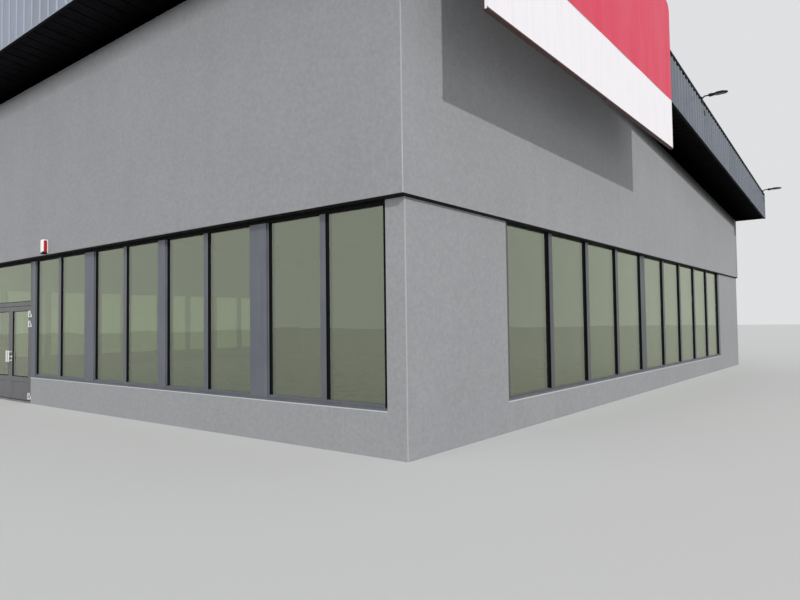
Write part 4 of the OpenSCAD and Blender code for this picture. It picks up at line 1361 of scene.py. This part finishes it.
def lamp_head(side, y, z):
    """Boat-shaped head: half width and height grow from the neck by a smooth step and close in at the tip,
    and each cross-section is a superellipse that is flatter below."""
    tip = 0.80 + 0.20 * np.sin(quarter_turn(8))
    share = np.concatenate([np.linspace(0.0, 0.80, 12), tip[1:]])
    grow = np.clip(share / 0.55, 0.0, 1.0)
    swell = grow * grow * (3.0 - 2.0 * grow)
    close = np.sqrt(np.clip(1.0 - (np.clip(share - 0.62, 0.0, 1.0) / 0.39) ** 2, 0.0, 1.0))
    half_w = (0.056 + (HEAD_W / 2.0 - 0.062) * swell) * np.maximum(close, 0.30)
    half_t = (0.028 + (HEAD_T / 2.0 - 0.036) * swell) * np.maximum(close, 0.45)
    turn = np.linspace(0.0, 2.0 * pi, 28, endpoint=False)
    c, s = np.cos(turn), np.sin(turn)
    across = np.sign(c) * np.abs(c) ** 0.7
    upward = np.where(s > 0.0, np.abs(s) ** 0.9, -np.abs(s) ** 0.35 * 0.72)
    start = FASCIA_X + ARM_LEN + NECK_LEN
    x = start + (HEAD_LEN - NECK_LEN) * share
    return loft([rail(side * a, y + w * across, z + t * upward) for a, w, t in zip(x, half_w, half_t)])


def outboard(side, x0, x1, y, half, z0, z1, edge):
    """Block between two distances from the fascia, with the given half width on both sides of y."""
    low_x, high_x = span(side, FASCIA_X + x0, FASCIA_X + x1)
    return soft_block((low_x, y - half, z0), (high_x, y + half, z1), edge)


turn = quarter_turn(6)
arm_x = np.concatenate([0.004 + 0.044 * np.sin(turn) ** 1.2, [0.09, ARM_LEN + 0.01]])
arm_z = np.concatenate([-0.040 * np.cos(turn) ** 1.4, [0.0, 0.0]])
bolt_x = LAMP_PLATE_T + np.array([-SINK, 0.006, 0.008])
heads, arms, lenses = [], [], []
for side in (1, -1):
    for y in LAMP_YS:
        z = eaves_z(y) + LAMP_RISE
        heads.append(lamp_head(side, y, z))
        heads.append(outboard(side, ARM_LEN, ARM_LEN + NECK_LEN + 0.02, y, NECK_HALF, z - 0.030, z + 0.028,
                              0.008))
        for fin_y in y + FIN_PITCH * np.arange(-3, 4):
            heads.append(outboard(side, FIN_START, FIN_END, fin_y, FIN_T / 2.0, z + 0.014, z + 0.034, 0.001))
        arms.append(tube(rail(side * (FASCIA_X + arm_x), y, z + arm_z), ARM_R, 20))
        top = z - 0.010
        arms.append(outboard(side, 0.0, LAMP_PLATE_T, y, LAMP_PLATE / 2.0, top - LAMP_PLATE, top, 0.002))
        for bolt_y in (-BOLT_HALF, BOLT_HALF):
            for bolt_z in (0.022, 0.098):
                bolt = rail(side * (FASCIA_X + bolt_x), y + bolt_y, top - bolt_z)
                arms.append(tube(bolt, [BOLT_R, BOLT_R, 0.006], 6))
        lenses.append(outboard(side, LENS_START, LENS_END, y, LENS_HALF, z - 0.0265, z - 0.018, 0.003))
make_piece("lamp_heads", heads, LAMP_METAL, smooth=40.0, replaces=("floodlights",))
make_piece("lamp_arms", arms, LAMP_METAL, smooth=40.0)
make_piece("lamp_lenses", lenses, LAMP_GLASS)

# %% [markdown]
# ## Doors
# Two glazed leaves open outwards. Close up one sees black gaskets round the glass, a raised frame on the
# closed foot, a steel pull on two round stand-offs with a lever behind it, and white hinges that stand out
# from the jambs on short arms. Everything on a leaf rides on that leaf's body, so it swings with it.

# %% Doors
LEAF_IN = 0.005
STILE = 0.10
low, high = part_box("door_glass_right")
DOOR_EDGE_X = high.x + STILE
GLASS_Z0 = low.z
GLASS_Z1 = high.z
DOOR_GLASS_Y0 = low.y
DOOR_GLASS_Y1 = high.y
LEAF_BACK_Y = FRAME_Y + 0.06
LEAF_Z0 = 0.048
KICK_H = 0.50
KICK_T = 0.03
PULL_X = 0.055
PULL_Y = -9.80
PULL_R = 0.015
PULL_Z0 = 0.865
PULL_Z1 = 1.125
LEVER_Z = 0.985
LEVER_LEN = 0.125
CORE_DROP = 0.070
HINGE_X = 1.062
HINGE_Y = -9.78
HINGE_R = 0.009
HINGE_ZS = (0.083, 1.65, 1.865)
HINGE_PLATE_W = 0.040
HINGE_PLATE_T = 0.006
HINGE_ARM = 0.018
KNUCKLE = 0.068
KNUCKLE_GAP = 0.001


def glazing_rim(x0, x1, z0, z1, depth, place):
    """Gasket in a door's opening: a rounded lip at the frame's face and a wedge down to the glass."""
    lip = [(-SINK, -0.003), (0.003, -SINK), (0.009, -SINK), (0.012, -0.005), (0.012, -depth + SINK),
           (-SINK, -depth + SINK)]
    return rim(x0, x1, z0, z1, lip, place)


leaf_faces = [(on_front(FRAME_Y), DOOR_GLASS_Y0 - FRAME_Y),
              (on_front(LEAF_BACK_Y, -1), LEAF_BACK_Y - DOOR_GLASS_Y1)]
kick_z0, kick_z1 = LEAF_Z0 + STILE, LEAF_Z0 + KICK_H - STILE
recess = (LEAF_BACK_Y - FRAME_Y - KICK_T) / 2.0
moulded = [(-SINK, -0.004), (0.010, -0.006), (0.016, -recess + 0.002), (0.016, -recess - SINK),
           (-SINK, -recess - SINK)]
bar_z = np.linspace(PULL_Z0, PULL_Z1, 9)
bar_z[1], bar_z[-2] = PULL_Z0 + 0.004, PULL_Z1 - 0.004
bar_r = np.full(9, PULL_R)
bar_r[[0, -1]] = PULL_R * 0.72
bend = quarter_turn(5)
lever_x = np.concatenate([[0.0], 0.012 * (1.0 - np.cos(bend)), [LEVER_LEN - 0.004, LEVER_LEN]])
lever_y = np.concatenate([[0.008], -0.014 - 0.012 * np.sin(bend), [-0.026, -0.026]])
for side, word in SIDES:
    leaf = f"door_{word}"
    x0, x1 = span(side, LEAF_IN + STILE, DOOR_EDGE_X - STILE)
    gaskets = [glazing_rim(x0, x1, GLASS_Z0, GLASS_Z1, depth, place) for place, depth in leaf_faces]
    make_piece(f"door_gaskets_{word}", gaskets, GASKET, body=leaf)
    trims = [rim(x0, x1, kick_z0, kick_z1, moulded, place) for place, depth in leaf_faces]
    make_piece(f"door_foot_trim_{word}", trims, DOOR_FRAME, body=leaf)
    pull_x = side * PULL_X
    pull = [tube(rail(pull_x, PULL_Y, bar_z), bar_r, 24)]
    for share in (0.125, 0.875):
        z = PULL_Z0 + (PULL_Z1 - PULL_Z0) * share
        stand = rail(pull_x, (PULL_Y, FRAME_Y - 0.010, FRAME_Y - 0.008, FRAME_Y), z)
        pull.append(tube(stand, [0.010, 0.010, 0.019, 0.020], 20))
    make_piece(f"door_bar_pull_{word}", pull, PULL_STEEL, body=leaf,
               replaces=(f"door_pull_{word}",))
    rose = rail(pull_x, (FRAME_Y + 0.002, FRAME_Y - 0.006, FRAME_Y - 0.009), LEVER_Z)
    lever = rail(side * (PULL_X + lever_x), FRAME_Y + lever_y, LEVER_Z)
    core = rail(pull_x, (FRAME_Y + 0.002, FRAME_Y - 0.007, FRAME_Y - 0.008), LEVER_Z - CORE_DROP)
    handle = [tube(rose, [0.024, 0.024, 0.020], 28), tube(core, [0.012, 0.012, 0.009], 20),
              tube(lever, [0.009] * (len(lever) - 1) + [0.006], 16)]
    make_piece(f"door_lever_{word}", handle, PULL_STEEL, body=leaf)
    sleeves = []
    for z in HINGE_ZS:
        z0 = z + KNUCKLE + KNUCKLE_GAP
        z1 = z0 + KNUCKLE
        sleeve = rail(side * HINGE_X, HINGE_Y, (z0 + 0.0003, z0 + 0.002, z1 - 0.002, z1 + HAIR))
        sleeves.append(tube(sleeve, [HINGE_R, HINGE_R + 0.001, HINGE_R + 0.001, HINGE_R - 0.002], 20))
        flap = span(side, HINGE_X - HINGE_PLATE_W - HAIR, HINGE_X - 0.0028)
        sleeves.append(soft_block((flap[0], FRAME_Y - HINGE_PLATE_T - 0.0006, z0 + 0.0003),
                                  (flap[1], FRAME_Y - HAIR, z1 + 0.0006), 0.0012))
        arm = span(side, HINGE_X - HINGE_ARM - 0.0036, HINGE_X - 0.0026)
        sleeves.append(soft_block((arm[0], HINGE_Y - 0.0006, z1 - HINGE_ARM - 0.0006),
                                  (arm[1], FRAME_Y - 0.001, z1 + 0.0008), 0.0012))
    make_piece(f"hinge_sleeves_{word}", sleeves, HINGE_METAL, body=leaf)

low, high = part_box("transom_glass")
transom = glazing_rim(low.x, high.x, low.z, high.z, low.y - FRAME_Y, on_front(FRAME_Y))
make_piece("transom_gasket", [transom], GASKET)

# %% [markdown]
# ## Stage
# A plain pale floor takes the shadow. It isn't part of the building.

# %% Stage
floor_mesh = bpy.data.meshes.new("studio_floor")
corners = [(x * FLOOR_HALF, y * FLOOR_HALF, 0.0) for x, y in ((-1, -1), (1, -1), (1, 1), (-1, 1))]
floor_mesh.from_pydata(corners, [], [(0, 1, 2, 3)])
studio_floor = bpy.data.objects.new("studio_floor", floor_mesh)
bpy.context.scene.collection.objects.link(studio_floor)
floor_paint = Finish("studio_floor_paint", roughness=0.95, colour=FLOOR_TONE, specular=0.1)
floor_mesh.materials.append(floor_paint.material)
print("floor half width", FLOOR_HALF)

# %% [markdown]
# ## Light under the canopy
# Outdoors light also comes from above and from below, so the upper walls are lit nearly up to the soffit,
# and only the sign throws a shadow with a clear edge on them. A studio does the same with more lamps and a
# flag. A twin of the sun lights just the side wall, and of all the pieces only the sign and the soffit next
# to the wall stand in its way. A soft lamp that shines a little upwards lifts that shadow. A low lamp
# lights the front wall, and one square to the side lights the end of that wall, with a power that makes up
# for its other direction. The sun itself leaves those walls out. Blender calls this light linking.

# %% Light under the canopy
def link_group(name, members, state="INCLUDE"):
    """Collection for light linking: a lamp reaches its members, or leaves them out when state is
    EXCLUDE."""
    group = bpy.data.collections.new(name)
    for member in members:
        group.objects.link(member)
    for entry in group.collection_objects:
        entry.light_linking.link_state = state
    return group


def wall_lamp(name, travel, power, spread, lit, flags=()):
    """Sun that lights only the given pieces; flags, if any, are the only pieces that stand in its way."""
    lamp = sun(name, travel, power, spread)
    lamp.light_linking.receiver_collection = link_group(name + "_lit", lit)
    if flags:
        lamp.light_linking.blocker_collection = link_group(name + "_flags", flags)


WALL_SUN_POWER = 1.79
WALL_FILL_POWER = 0.98
RISING_TRAVEL = Vector((-1.0, 0.0, 0.10))
RISING_POWER = 0.56
RISING_SPREAD = 45.0
END_TRAVEL = Vector((KEY_TRAVEL.x, 0.0, KEY_TRAVEL.z))
END_POWER = WALL_SUN_POWER * END_TRAVEL.length / KEY_TRAVEL.length

front_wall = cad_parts["front_upper_wall"]
side_group = [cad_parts["side_upper_wall_right"], bpy.data.objects["corner_beads_upper"]]
siren = bpy.data.objects["siren_housing"]
sign_and_soffit = [bpy.data.objects[name] for name in ("sign_face", "sign_clips", "side_soffit_inner_right")]
wall_lamp("wall_sun", KEY_TRAVEL, WALL_SUN_POWER, KEY_SPREAD, side_group, sign_and_soffit)
wall_lamp("rising_light", RISING_TRAVEL, RISING_POWER, RISING_SPREAD, [front_wall, *side_group], [siren])
wall_lamp("end_sun", END_TRAVEL, END_POWER, KEY_SPREAD, [front_wall], [siren])
wall_lamp("wall_fill", FILL_TRAVEL, WALL_FILL_POWER, FILL_SPREAD, [front_wall])
left_out = link_group("all_but_those_walls", [front_wall, *side_group], "EXCLUDE")
key_sun.light_linking.receiver_collection = left_out
